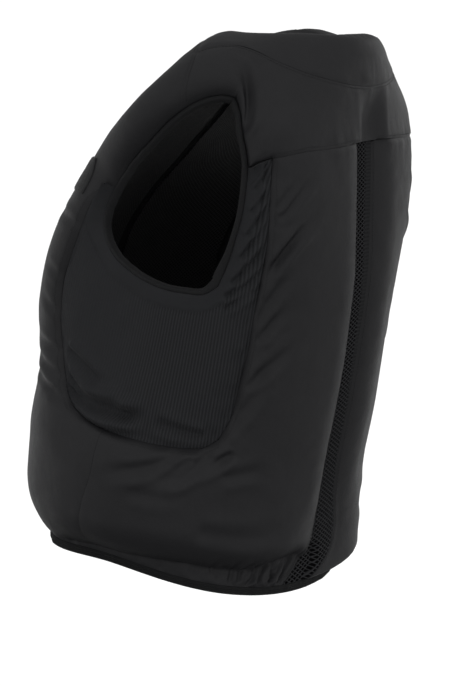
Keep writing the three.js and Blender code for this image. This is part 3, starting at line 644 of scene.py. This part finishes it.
# ---------------------------------------------------------------- materials
class Nodes:
    def __init__(self, name):
        self.m = bpy.data.materials.new(name)
        self.m.use_nodes = True
        self.t = self.m.node_tree
        self.shader = next(n for n in self.t.nodes if n.type == "BSDF_PRINCIPLED")

    def new(self, kind, **values):
        n = self.t.nodes.new(kind)
        for k, v in values.items():
            setattr(n, k, v)
        return n

    def link(self, a, b):
        self.t.links.new(a, b)

    def feed(self, node, index, value):
        if hasattr(value, "links") or hasattr(value, "is_linked"):
            self.link(value, node.inputs[index])
        else:
            node.inputs[index].default_value = value

    def math(self, kind, a, b=0.0, c=0.0):
        n = self.new("ShaderNodeMath", operation=kind)
        for i, v in enumerate((a, b, c)):
            self.feed(n, i, v)
        return n.outputs[0]

    def cloth(self):
        n = self.new("ShaderNodeUVMap", uv_map="UVMap")
        s = self.new("ShaderNodeSeparateXYZ")
        self.link(n.outputs[0], s.inputs[0])
        return s.outputs[0], s.outputs[1]

    def grain(self, scale, detail=3.0, rough=0.55):
        c = self.new("ShaderNodeTexCoord")
        n = self.new("ShaderNodeTexNoise")
        self.link(c.outputs["Object"], n.inputs["Vector"])
        n.inputs["Scale"].default_value, n.inputs["Detail"].default_value, n.inputs["Roughness"].default_value = scale, detail, rough
        return n.outputs["Fac"]

    def wave(self, v, period):
        return self.math("SINE", self.math("MULTIPLY", v, 2 * math.pi / period))

    def span(self, v, a, b, c, d):
        n = self.new("ShaderNodeMapRange")
        self.link(v, n.inputs[0])
        for i, x in enumerate((a, b, c, d)):
            n.inputs[1 + i].default_value = x
        return n.outputs[0]

    def colour(self, fac, dark, light):
        n = self.new("ShaderNodeMix", data_type="RGBA")
        self.link(fac, n.inputs["Factor"])
        n.inputs["A"].default_value, n.inputs["B"].default_value = (*dark, 1), (*light, 1)
        self.link(n.outputs["Result"], self.shader.inputs["Base Color"])

    def bumps(self, *layers):
        last = None
        for height, strength, distance in layers:
            n = self.new("ShaderNodeBump")
            n.inputs["Strength"].default_value, n.inputs["Distance"].default_value = strength, distance
            self.link(height, n.inputs["Height"])
            if last is not None:
                self.link(last, n.inputs["Normal"])
            last = n.outputs["Normal"]
        self.link(last, self.shader.inputs["Normal"])

    def finish(self, specular, sheen, tint=(1, 1, 1)):
        self.shader.inputs["Specular IOR Level"].default_value = specular
        self.shader.inputs["Sheen Weight"].default_value = sheen
        self.shader.inputs["Sheen Roughness"].default_value = 0.4
        self.shader.inputs["Sheen Tint"].default_value = (*tint, 1)
        return self.m


def shell_material():
    n = Nodes("shell_nylon")
    u, v = n.cloth()
    weave = n.math("MULTIPLY", n.wave(u, 0.0011), n.wave(v, 0.0011))
    fine, crumple, broad = n.grain(420, 2), n.grain(70, 4, 0.6), n.grain(14, 2)
    n.colour(n.math("ADD", n.math("MULTIPLY", broad, 0.6), n.math("MULTIPLY", fine, 0.4)), (0.0054, 0.0054, 0.0060), (0.0089, 0.0089, 0.0098))
    n.link(n.span(n.math("ADD", n.math("MULTIPLY", crumple, 0.5), n.math("MULTIPLY", weave, 0.1)), 0.1, 0.5, 0.52, 0.64), n.shader.inputs["Roughness"])
    n.bumps((crumple, 0.3, 0.0018), (fine, 0.2, 0.0004), (weave, 0.3, 0.00018))
    return n.finish(0.13, 0.0)


def rib_material():
    n = Nodes("rib_knit")
    u, v = n.cloth()
    band = n.new("ShaderNodeAttribute", attribute_name="band", attribute_type="GEOMETRY").outputs["Fac"]
    rib = n.math("MULTIPLY", n.wave(u, 0.0034), n.math("SUBTRACT", 1.0, band))
    knit = n.math("MULTIPLY", n.wave(v, 0.0014), n.wave(u, 0.0016))
    fine = n.grain(300, 2)
    # Base colour is darker in the grooves between the ribs: painted shade that follows the rib relief of the bump,
    # smoothed away where the band attribute is set; the fine noise adds random tone.
    n.colour(n.math("ADD", n.math("MULTIPLY", n.math("ADD", rib, 1.0), 0.34), n.math("MULTIPLY", fine, 0.3)), (0.0046, 0.0048, 0.0054), (0.0146, 0.0150, 0.0164))
    n.link(n.span(fine, 0.3, 0.7, 0.7, 0.86), n.shader.inputs["Roughness"])
    n.bumps((n.grain(60, 3), 0.3, 0.002), (rib, 0.7, 0.00045), (knit, 0.4, 0.0002))
    return n.finish(0.1, 0.02)


def mesh_material(name, dark, light, wide, high, specular):
    n = Nodes(name)
    u, v = n.cloth()
    us, vs = n.math("MULTIPLY", u, math.pi / wide), n.math("MULTIPLY", v, math.pi / high)
    a, b = (n.math("ABSOLUTE", n.math("SINE", n.math(k, us, vs))) for k in ("ADD", "SUBTRACT"))
    hole = n.math("MINIMUM", a, b)
    border = n.new("ShaderNodeAttribute", attribute_name="border", attribute_type="GEOMETRY").outputs["Fac"]
    knit = n.span(n.wave(v, 0.0040), -1.0, 1.0, 0.34, 0.62)
    open_part = n.math("SUBTRACT", 1.0, border)
    # The open holes take the dark colour: painted shade for the dark inside seen through them; the threads take the
    # light colour.
    thread = n.math("ADD", n.math("MULTIPLY", n.span(hole, 0.3, 0.55, 1.0, 0.0), open_part), n.math("MULTIPLY", knit, border))
    fine = n.grain(350, 2)
    n.colour(n.math("MULTIPLY", thread, n.span(fine, 0.2, 0.8, 0.75, 1.0)), dark, light)
    n.link(n.span(fine, 0.3, 0.7, 0.66, 0.82), n.shader.inputs["Roughness"])
    n.bumps((thread, 0.9, 0.0009), (fine, 0.3, 0.0003))
    return n.finish(specular, 0.01)


def tape_material(name, across, period, dark, light, specular, rough):
    n = Nodes(name)
    u, v = n.cloth()
    twill = n.wave(n.math("ADD", n.math("MULTIPLY", u, across), v), period)
    cross = n.wave(n.math("SUBTRACT", u, n.math("MULTIPLY", v, 0.4)), period * 0.8)
    fine = n.grain(380, 2)
    n.colour(n.math("ADD", n.math("MULTIPLY", n.math("ADD", twill, 1.0), 0.3), n.math("MULTIPLY", fine, 0.4)), dark, light)
    n.link(n.span(fine, 0.3, 0.7, rough - 0.06, rough + 0.08), n.shader.inputs["Roughness"])
    n.bumps((n.grain(90, 3), 0.25, 0.0015), (n.math("MULTIPLY", twill, cross), 0.6, 0.0003))
    return n.finish(specular, 0.015)


SHELL, RIB = shell_material(), rib_material()
# The first colour of each mesh is the painted shade in its holes.
AIR = mesh_material("air_mesh", (0.0001, 0.0001, 0.0002), (0.0210, 0.0212, 0.0226), 0.0090, 0.0046, 0.03)
LINING = mesh_material("lining_mesh", (0.0012, 0.0012, 0.0013), (0.0160, 0.0162, 0.0172), 0.0052, 0.0044, 0.1)
BINDING = tape_material("binding_tape", 0.3, 0.0016, (0.0040, 0.0041, 0.0045), (0.0072, 0.0073, 0.0078), 0.1, 0.7)
ELASTIC = tape_material("elastic_band", 0.1, 0.0026, (0.0040, 0.0041, 0.0044), (0.0080, 0.0081, 0.0086), 0.1, 0.76)
ZIP = tape_material("zip_tape", 0.5, 0.0013, (0.0040, 0.0041, 0.0044), (0.0078, 0.0079, 0.0084), 0.15, 0.6)
PATCH = tape_material("patch_cloth", 1.0, 0.0015, (0.0055, 0.0056, 0.0060), (0.0092, 0.0093, 0.0098), 0.15, 0.6)
THREAD = tape_material("thread", 0.7, 0.0006, (0.0080, 0.0081, 0.0086), (0.0140, 0.0142, 0.0150), 0.15, 0.55)


# ---------------------------------------------------------------- panels
def flip(g):
    return g * np.array([-1.0, 1.0])


back_main = fill(hem_rear, yoke_mid, stripe_edge, join(rear_column, rear_up))
back_low = fill(hem_side, rear_low, rear_column, side_seam)
front_main = fill(hem_front, neck_front, zip_edge, front_side)
front_low_grid = fill(hem_turn, front_low, side_seam, front_column)
rib_outer = join(turned(rear_up), rear_low, front_low, front_up)
rib_inner = join(arm_rear, arm_low, arm_front)
F_RIB = even(62)
rib_grid = rib_outer[:, None] * (1 - F_RIB)[None, :, None] + rib_inner[:, None] * F_RIB[None, :, None]
rib_grid[0], rib_grid[-1] = run(YOKE_SIDE, F_RIB), turned(run(ARM_TIP, F_RIB))
stripe_across = np.linspace(-1, 1, 13)
stripe_grid = np.stack([stripe_edge[:, :1] * stripe_across[None], np.repeat(stripe_edge[:, 1:], 13, 1)], -1)
STRIP_ROWS, STRIP_COLUMNS = np.linspace(HEM_T, YOKE_TOP_MID, 900), 37
strip_grid = np.stack([stripe_angle(STRIP_ROWS)[:, None] * np.linspace(-1, 1, STRIP_COLUMNS)[None], np.repeat(STRIP_ROWS[:, None], STRIP_COLUMNS, 1)], -1)
CELL_WIDE, CELL_HIGH = 9.0, 4.6
yoke_main = fill(yoke_base, collar_top, join(mirror(arm_back), mirror(yoke_column)), join(arm_back, yoke_column))
yoke_wing = fill(arm_top, collar_side, yoke_column, shoulder_low)
collar_grid = fill(collar_base, neck_back, mirror(shoulder_top), shoulder_top)
zip_across = np.linspace(0, 1, 9)
zip_grid = np.stack([zip_edge[:, :1] + (360 - 2 * zip_edge[:, :1]) * zip_across[None], np.repeat(zip_edge[:, 1:], 9, 1)], -1)


def inside(p, o):
    return pad_at(p[:, 1])


def neck_bulge(p):
    return 3.5 * (p[:, 1] > 0.9995)


def padded(name, node, grids, side, folds, fill_share, **shape):
    made = solid(grids, lambda p: pad_depth(p, side, folds), inside, **shape)
    piece = add(name, node, made, SHELL)
    return piece


padded("collar_pad", "collar", [collar_grid], 0, YOKE_FOLDS[3:4], 0.8, bulge=neck_bulge, rows=7)
padded("back_yoke_pad", "back_yoke", [yoke_main, yoke_wing, flip(yoke_wing)], 0, YOKE_FOLDS, 0.8)
padded("back_panel_left_pad", "back_panel_left", [back_main, back_low], 1, BACK_FOLDS, 0.9)
padded("back_panel_right_pad", "back_panel_right", [flip(back_main), flip(back_low)], -1, BACK_FOLDS, 0.9)
padded("front_panel_left_pad", "front_panel_left", [front_main, front_low_grid], 1, FRONT_FOLDS, 0.9, bulge=neck_bulge, rows=5)
padded("front_panel_right_pad", "front_panel_right", [flip(front_main), flip(front_low_grid)], -1, FRONT_FOLDS, 0.9, bulge=neck_bulge, rows=5)

for name, sign in (("left", 1), ("right", -1)):
    grid = rib_grid if sign > 0 else flip(rib_grid)
    made = solid([grid], lambda p: rib_depth(p, sign), lambda p, o: o + RIB_THICK)
    plain = solid([grid], lambda p: rib_depth(p, sign, True), lambda p, o: o + RIB_THICK)
    hole, _, _ = nearest(envelope(made[3]), lines("arm_low", sign))
    piece = add(f"side_panel_{name}_knit", f"side_panel_{name}", made, RIB, {"band": np.maximum(1 - smooth(15.5, 17.5, hole), 0.8 * smooth(74, 104, np.abs(made[3][:, 0])))})


def strip_base(p):
    at = envelope(p)
    edge = float(stripe_angle(HEM_T))
    low, _ = lower_depth(p, at, nearest(at, lines("hem", 0) + [envelope(level(-edge, edge, even(6), HEM_T))])[0], np.zeros(len(p)))
    return (low**4 + STRIPE_DEPTH**4) ** 0.25


def strip_border(p):
    """1 on the strip's close-knit borders, 0 on its open mesh. As worn, the left border is drawn in under its chamber."""
    share = -p[:, 0] / stripe_angle(p[:, 1])
    edge = mix(0.88, 0.22, smooth(0.12, 0.62, p[:, 1]))
    return np.maximum(smooth(edge - 0.05, edge + 0.05, share), smooth(0.9, 0.95, -share)) * (1 - smooth(0.97, 1.0, np.abs(share)))


def strip_depth(p):
    at, base = envelope(p), strip_base(p)
    inner = 1 - np.abs(p[:, 0]) / stripe_angle(p[:, 1])
    u, v = (uv_of(p) * 1000 * np.pi / np.array([CELL_WIDE, CELL_HIGH])).T
    thread = 1 - smooth(0.3, 0.6, np.minimum(np.abs(np.sin(u + v)), np.abs(np.sin(u - v))))
    return base - 0.4 * noise(at / 30, 8) * inner - mix((1.5 * thread - 1.1) * smooth(0, 0.12, inner), 0.5, strip_border(p))


made = solid([strip_grid], strip_depth, lambda p, o: strip_base(p) + STRIP_THICK)
piece = add("spine_mesh_strip", "spine_mesh", made, AIR, {"border": strip_border(made[3])})
even_strip = solid([stripe_grid], lambda p: np.full(len(p), STRIPE_DEPTH), lambda p, o: o + STRIP_THICK)

made = solid([zip_grid], lambda p: np.minimum(ZIP_DEPTH + 2, pad_at(p[:, 1]) - ZIP_THICK - 1) - 0.25 * noise(envelope(p) / 20, 9), lambda p, o: o + ZIP_THICK, gap=-0.1)
piece = add("front_zip_tape", "front_zip", made, ZIP)


def lined(p):
    return pad_at(p[:, 1]) + LINING_GAP + 0.35 * noise(envelope(p) / 30, 10)


for name, node, grids, flat in (
    ("lining_back_mesh", "lining_back", [back_main, back_low, flip(back_main), flip(back_low), stripe_grid, yoke_main, yoke_wing, flip(yoke_wing), collar_grid], (0.60, 0.62)),
    ("lining_front_left_mesh", "lining_front_left", [front_main, front_low_grid], (0.36, 0.62)),
    ("lining_front_right_mesh", "lining_front_right", [flip(front_main), flip(front_low_grid)], (0.36, 0.62)),
):
    made = solid([g[::2, ::2] for g in grids], lined, lambda p, o: o + LINING_THICK, gap=GAP if node == "lining_back" else -0.1)
    piece = add(name, node, made, LINING)


# ---------------------------------------------------------------- tapes and bands
def hoop(stations, name, node, material, cycle):
    n, k = stations.shape[:2]
    i, j = np.meshgrid(np.arange(n), np.arange(k), indexing="ij")
    a, b = i * k + j, i * k + (j + 1) % k
    c, d = (i + 1) % n * k + (j + 1) % k, (i + 1) % n * k + j
    faces = np.stack([a, b, c, d], -1).reshape(-1, 4)
    points = stations.reshape(-1, 3)
    q = points[faces]
    volume = (q[:, 0] * np.cross(q[:, 1], q[:, 2])).sum() + (q[:, 0] * np.cross(q[:, 2], q[:, 3])).sum()
    if volume < 0:
        faces = faces[:, ::-1]
    along = np.concatenate([[0], np.cumsum(np.linalg.norm(np.diff(stations[:, 0], axis=0), axis=1))])
    uv = np.stack([np.repeat(along[:, None], k, 1), np.repeat(np.linspace(0, cycle, k)[None], n, 0)], -1).reshape(-1, 2) * 0.001
    made = (points, faces.tolist(), uv, None)
    return add(name, node, made, material), made, along[-1] * 0.001


arm_loop = join(arm_rear, arm_low, arm_front, arm_tip, arm_strap, turned(arm_top), turned(arm_back))[:-1]
arm_loop = arm_loop[np.concatenate([[True], np.linalg.norm(np.diff(envelope(arm_loop), axis=0), axis=1) > 0.4])]
for name, sign in (("left", 1), ("right", -1)):
    loop = arm_loop if sign > 0 else mirror(arm_loop)
    at, up = envelope(loop), outward(loop)
    path = np.roll(at, -4, 0) - np.roll(at, 4, 0)
    into = -sign * unit(np.cross(up, path))
    top = pad_at(loop[:, 1]) - ARM_EDGE - 1.5
    turn = np.linspace(0, 2 * np.pi, 20, endpoint=False)
    corner = np.linalg.norm(at - envelope((arm_rear if sign > 0 else mirror(arm_rear))[-8:-7]), axis=1)
    h = TAPE_GAP - 0.8 - 0.2 * np.exp(-((corner / 24) ** 2))[:, None] + (2.5 - 2.5 * np.sign(np.cos(turn)) * np.abs(np.cos(turn)) ** 0.55)[None] * (1 + 0.8 * np.exp(-((corner / 24) ** 2)))[:, None]
    d = TAPE_HIGH / 2 - 4.2 * np.sign(np.sin(turn)) * np.abs(np.sin(turn)) ** 0.55
    along = np.concatenate([[0], np.cumsum(np.linalg.norm(np.diff(at, axis=0), axis=1))])
    wave = 0.35 * noise((along / 9)[:, None], 80) + 0.2 * noise((along / 4)[:, None], 81)
    wave *= smooth(0, 12, along) * smooth(0, 12, along[-1] - along)
    stations = at[:, None] + into[:, None] * h[..., None] - up[:, None] * (top[:, None] + d[None] - wave[:, None])[..., None]
    piece, made, length = hoop(stations, f"armhole_binding_{name}_tape", f"armhole_binding_{name}", BINDING, 25.0)

hem_half = join(hem_rear, hem_side, hem_turn, turned(hem_front))
hem_loop = np.concatenate([level(-hem_half[0, 0], hem_half[0, 0], even(20), HEM_T)[1:-1], hem_half,
                           level(hem_half[-1, 0], 360 - hem_half[-1, 0], even(8), HEM_T)[1:-1], turned(mirror(hem_half)) + np.array([360.0, 0])])
at, up = envelope(hem_loop), outward(hem_loop)
level_out = unit(up * np.array([1, 1, 0]))
base = at - up * hem_depth(hem_loop[:, 0])[:, None]
along = np.concatenate([[0], np.cumsum(np.linalg.norm(np.diff(base, axis=0), axis=1))])
down = np.linspace(0, 1, 25)
ridge = 0.55 * np.cos(2 * np.pi * 4 * down) * np.sin(np.pi * down) ** 0.4 - 0.9 * (np.abs(2 * down - 1) ** 8)
outer = np.stack([0.5 + ridge, -0.3 - (BAND_HIGH + 0.7) * down], -1)
inner = np.stack([np.full(5, 0.5 - BAND_THICK), -0.3 - (BAND_HIGH + 0.7) * np.linspace(1, 0, 5)], -1)
section = np.concatenate([outer, inner])
# the turned-in edge, wider behind the zip and the strip, where the cloth above lies deeper
turned_in = np.concatenate([np.zeros(25), np.ones(5)])
sway = np.concatenate([down, np.linspace(1, 0, 5)])
rise = -up[:, 2] / np.linalg.norm(up[:, :2], axis=1)
wide = 2.5 + 18 * np.exp(-(((hem_loop[:, 0] - 180) / 13) ** 2)) + 5 * np.exp(-((((hem_loop[:, 0] + 180) % 360 - 180) / 12) ** 2))
pull = noise(np.stack([along / 7], -1), 90) * 0.7 + noise(np.stack([along / 3.4], -1), 91) * 0.3
pull *= smooth(0, 15, along) * smooth(0, 15, along[-1] - along)
stations = (base[:, None] + level_out[:, None] * (section[None, :, 0] + pull[:, None] - wide[:, None] * turned_in[None])[..., None]
            + np.array([0, 0, 1.0]) * (section[None, :, 1] + 0.4 * pull[:, None] * sway[None] + (rise * (wide + BAND_THICK - 1.3))[:, None] * turned_in[None])[..., None])
piece, made, length = hoop(stations, "hem_band_elastic", "hem_band", ELASTIC, 34.0)

# blank patch on the left chest, with a rolled edge
patch_grid = np.stack(np.meshgrid(np.linspace(*PATCH_PHI, 25), np.linspace(*PATCH_TAU, 25)), -1)


def patch_depth(p):
    u = np.abs((p[:, 0] - sum(PATCH_PHI) / 2) / (PATCH_PHI[1] - PATCH_PHI[0]) * 2)
    v = np.abs((p[:, 1] - sum(PATCH_TAU) / 2) / (PATCH_TAU[1] - PATCH_TAU[0]) * 2)
    edge = np.maximum(u, v)
    return pad_depth(p, 1, FRONT_FOLDS) - 2.2 + 0.9 * smooth(0.88, 1.0, edge) + 0.4 * np.exp(-(((edge - 0.84) / 0.03) ** 2))


made = solid([patch_grid], patch_depth, lambda p, o: pad_depth(p, 1, FRONT_FOLDS) - 0.3, gap=0.0)
piece = add("chest_patch_cloth", "chest_patch", made, PATCH)


# ---------------------------------------------------------------- topstitching
def beside(a, off):
    """A run moved sideways by off millimetres."""
    d = np.gradient(a * METRIC, axis=0)
    d = d / np.linalg.norm(d, axis=1, keepdims=True)
    return a + np.stack([-d[:, 1], d[:, 0]], -1) * off / METRIC


def stitch_marks(a, off, depth_of, pitch=3.4, long=2.3, lift=0.05):
    a = beside(a, off)
    at, up = envelope(a), outward(a)
    line = at - up * (depth_of(a) - lift)[:, None]
    size = np.concatenate([[0], np.cumsum(np.linalg.norm(np.diff(line, axis=0), axis=1))])
    first = np.arange(pitch, size[-1] - pitch, pitch)
    pick = lambda s: np.stack([np.interp(s, size, line[:, k]) for k in range(3)], -1)
    normal = unit(np.stack([np.interp(first, size, up[:, k]) for k in range(3)], -1))
    return pick(first), pick(first + long), normal


def stitches(marks, radius=0.26):
    start, end, up = (np.concatenate([m[k] for m in marks]) for k in range(3))
    side = unit(np.cross(end - start, up))
    rings = []
    for share, wide in ((0.0, 0.35), (0.18, 0.9), (0.5, 1.1), (0.82, 0.9), (1.0, 0.35)):
        mid = start + (end - start) * share + up * (0.25 * math.sin(math.pi * share))
        rings.append(np.stack([mid + radius * wide * (side * math.cos(a) + up * math.sin(a)) for a in np.linspace(0, 2 * np.pi, 6, endpoint=False)], 1))
    points = np.stack(rings, 1)
    n = len(points)
    faces = []
    for i in range(n):
        o = i * 30
        for r in range(4):
            for k in range(6):
                faces.append([o + r * 6 + k, o + r * 6 + (k + 1) % 6, o + r * 6 + 6 + (k + 1) % 6, o + r * 6 + 6 + k][::-1])
        faces.append([o + k for k in range(6)])
        faces.append([o + 24 + k for k in reversed(range(6))])
    flat = points.reshape(-1, 3)
    return flat, faces, np.stack([flat[:, 0], flat[:, 2]], -1) * 0.001, None


def pad_side(side, folds):
    return lambda p: pad_depth(p, side, folds)


marks = []
for sign in (1, -1):
    turn = (lambda a: a) if sign > 0 else mirror
    yoke_run, collar_run = turn(yoke_mid), turn(join(collar_mid, collar_side))
    marks.append(stitch_marks(yoke_run, 3.2 * sign, pad_side(0, YOKE_FOLDS)))
    marks.append(stitch_marks(collar_run, -2.6 * sign, pad_side(0, YOKE_FOLDS)))
    marks.append(stitch_marks(turn(shoulder_low), -3.5 * sign, pad_side(sign, FRONT_FOLDS)))
    marks.append(stitch_marks(turn(shoulder_top), -3.5 * sign, pad_side(sign, FRONT_FOLDS)))
    marks.append(stitch_marks(turn(rear_up), 3.5 * sign, pad_side(sign, BACK_FOLDS)))
    marks.append(stitch_marks(turn(rear_low), -3.5 * sign, pad_side(sign, BACK_FOLDS)))
    marks.append(stitch_marks(turn(front_up), -3.5 * sign, pad_side(sign, FRONT_FOLDS)))
    marks.append(stitch_marks(turn(stripe_edge)[4:], -3.0 * sign, pad_side(sign, BACK_FOLDS)))
piece = add("topstitching", None, stitches(marks), THREAD)

# ---------------------------------------------------------------- floor, light, camera
# The floor is painted dark grey near the spot under the vest and fades to white further out: a painted shade disc
# under the vest, which also cuts the light thrown up from below.
WHITE = bpy.data.materials.new("floor_white_with_painted_shade")
WHITE.use_nodes = True
b = WHITE.node_tree.nodes["Principled BSDF"]
tree = WHITE.node_tree
spot, reach, fade, painted_shade_disc = (tree.nodes.new(k) for k in ("ShaderNodeTexCoord", "ShaderNodeVectorMath", "ShaderNodeMapRange", "ShaderNodeMix"))
reach.operation, painted_shade_disc.data_type = "LENGTH", "RGBA"
tree.links.new(spot.outputs["Object"], reach.inputs[0])
tree.links.new(reach.outputs["Value"], fade.inputs[0])
for i, x in enumerate((1.7, 2.3, 0.0, 1.0)):
    fade.inputs[1 + i].default_value = x
tree.links.new(fade.outputs[0], painted_shade_disc.inputs["Factor"])
painted_shade_disc.inputs["A"].default_value, painted_shade_disc.inputs["B"].default_value = (0.14, 0.14, 0.14, 1), (0.95, 0.95, 0.95, 1)
tree.links.new(painted_shade_disc.outputs["Result"], b.inputs["Base Color"])
b.inputs["Roughness"].default_value = 0.9
b.inputs["Specular IOR Level"].default_value = 0.1
floor_mesh = bpy.data.meshes.new("floor")
floor_mesh.from_pydata([(-70, -70, -1.42), (70, -70, -1.42), (70, 70, -1.42), (-70, 70, -1.42)], [], [(0, 1, 2, 3)])
floor_mesh.materials.append(WHITE)
floor = bpy.data.objects.new("floor", floor_mesh)
bpy.context.scene.collection.objects.link(floor)

scene = bpy.context.scene
world = bpy.data.worlds.new("studio")
world.use_nodes = True
world.node_tree.nodes["Background"].inputs["Color"].default_value = (1, 1, 1, 1)
sky = world.node_tree
place, facing, ramp = (sky.nodes.new(k) for k in ("ShaderNodeTexCoord", "ShaderNodeVectorMath", "ShaderNodeMapRange"))
facing.operation = "DOT_PRODUCT"
facing.inputs[1].default_value = (0.72, 0.69, 0.0)
sky.links.new(place.outputs["Generated"], facing.inputs[0])
sky.links.new(facing.outputs["Value"], ramp.inputs[0])
for i, x in enumerate((-1.0, 1.0, 0.45, 1.8)):
    ramp.inputs[1 + i].default_value = x
sky.links.new(ramp.outputs[0], sky.nodes["Background"].inputs["Strength"])
scene.world = world
scene.view_settings.view_transform = "Standard"


def softbox(name, place, aim, size, power):
    light = bpy.data.lights.new(name, "AREA")
    light.shape, light.size, light.energy = "DISK", size, power
    lamp = bpy.data.objects.new(name, light)
    back = unit(np.array(place, float) - np.array(aim, float))
    right = unit(np.cross([0, 0, 1.0], back))
    top = np.cross(back, right)
    m = np.eye(4)
    m[:3, 0], m[:3, 1], m[:3, 2], m[:3, 3] = right, top, back, place
    lamp.matrix_world = Matrix(m.tolist())
    scene.collection.objects.link(lamp)


softbox("key", (1.5, -2.2, 2.0), (0, -0.05, -0.1), 1.2, 9)
softbox("rim", (-3.0, 0.6, 0.7), (0, 0.05, -0.15), 1.0, 10)
softbox("top", (0.4, 0.2, 2.4), (0, 0, -0.1), 1.4, 2)

camera = bpy.data.cameras.new("camera")
camera.lens, camera.sensor_width, camera.clip_end = 123.77, 36.0, 300.0
eye = bpy.data.objects.new("camera", camera)
m = np.eye(4)
m[:3, 0] = (-0.540538, 0.834839, 0.104222)
m[:3, 1] = (-0.147618, -0.216070, 0.965154)
m[:3, 2] = (0.828268, 0.506317, 0.240032)
m[:3, 3] = (2.0813, 1.25492, 0.31110)
eye.matrix_world = Matrix(m.tolist())
scene.collection.objects.link(eye)
scene.camera = eye
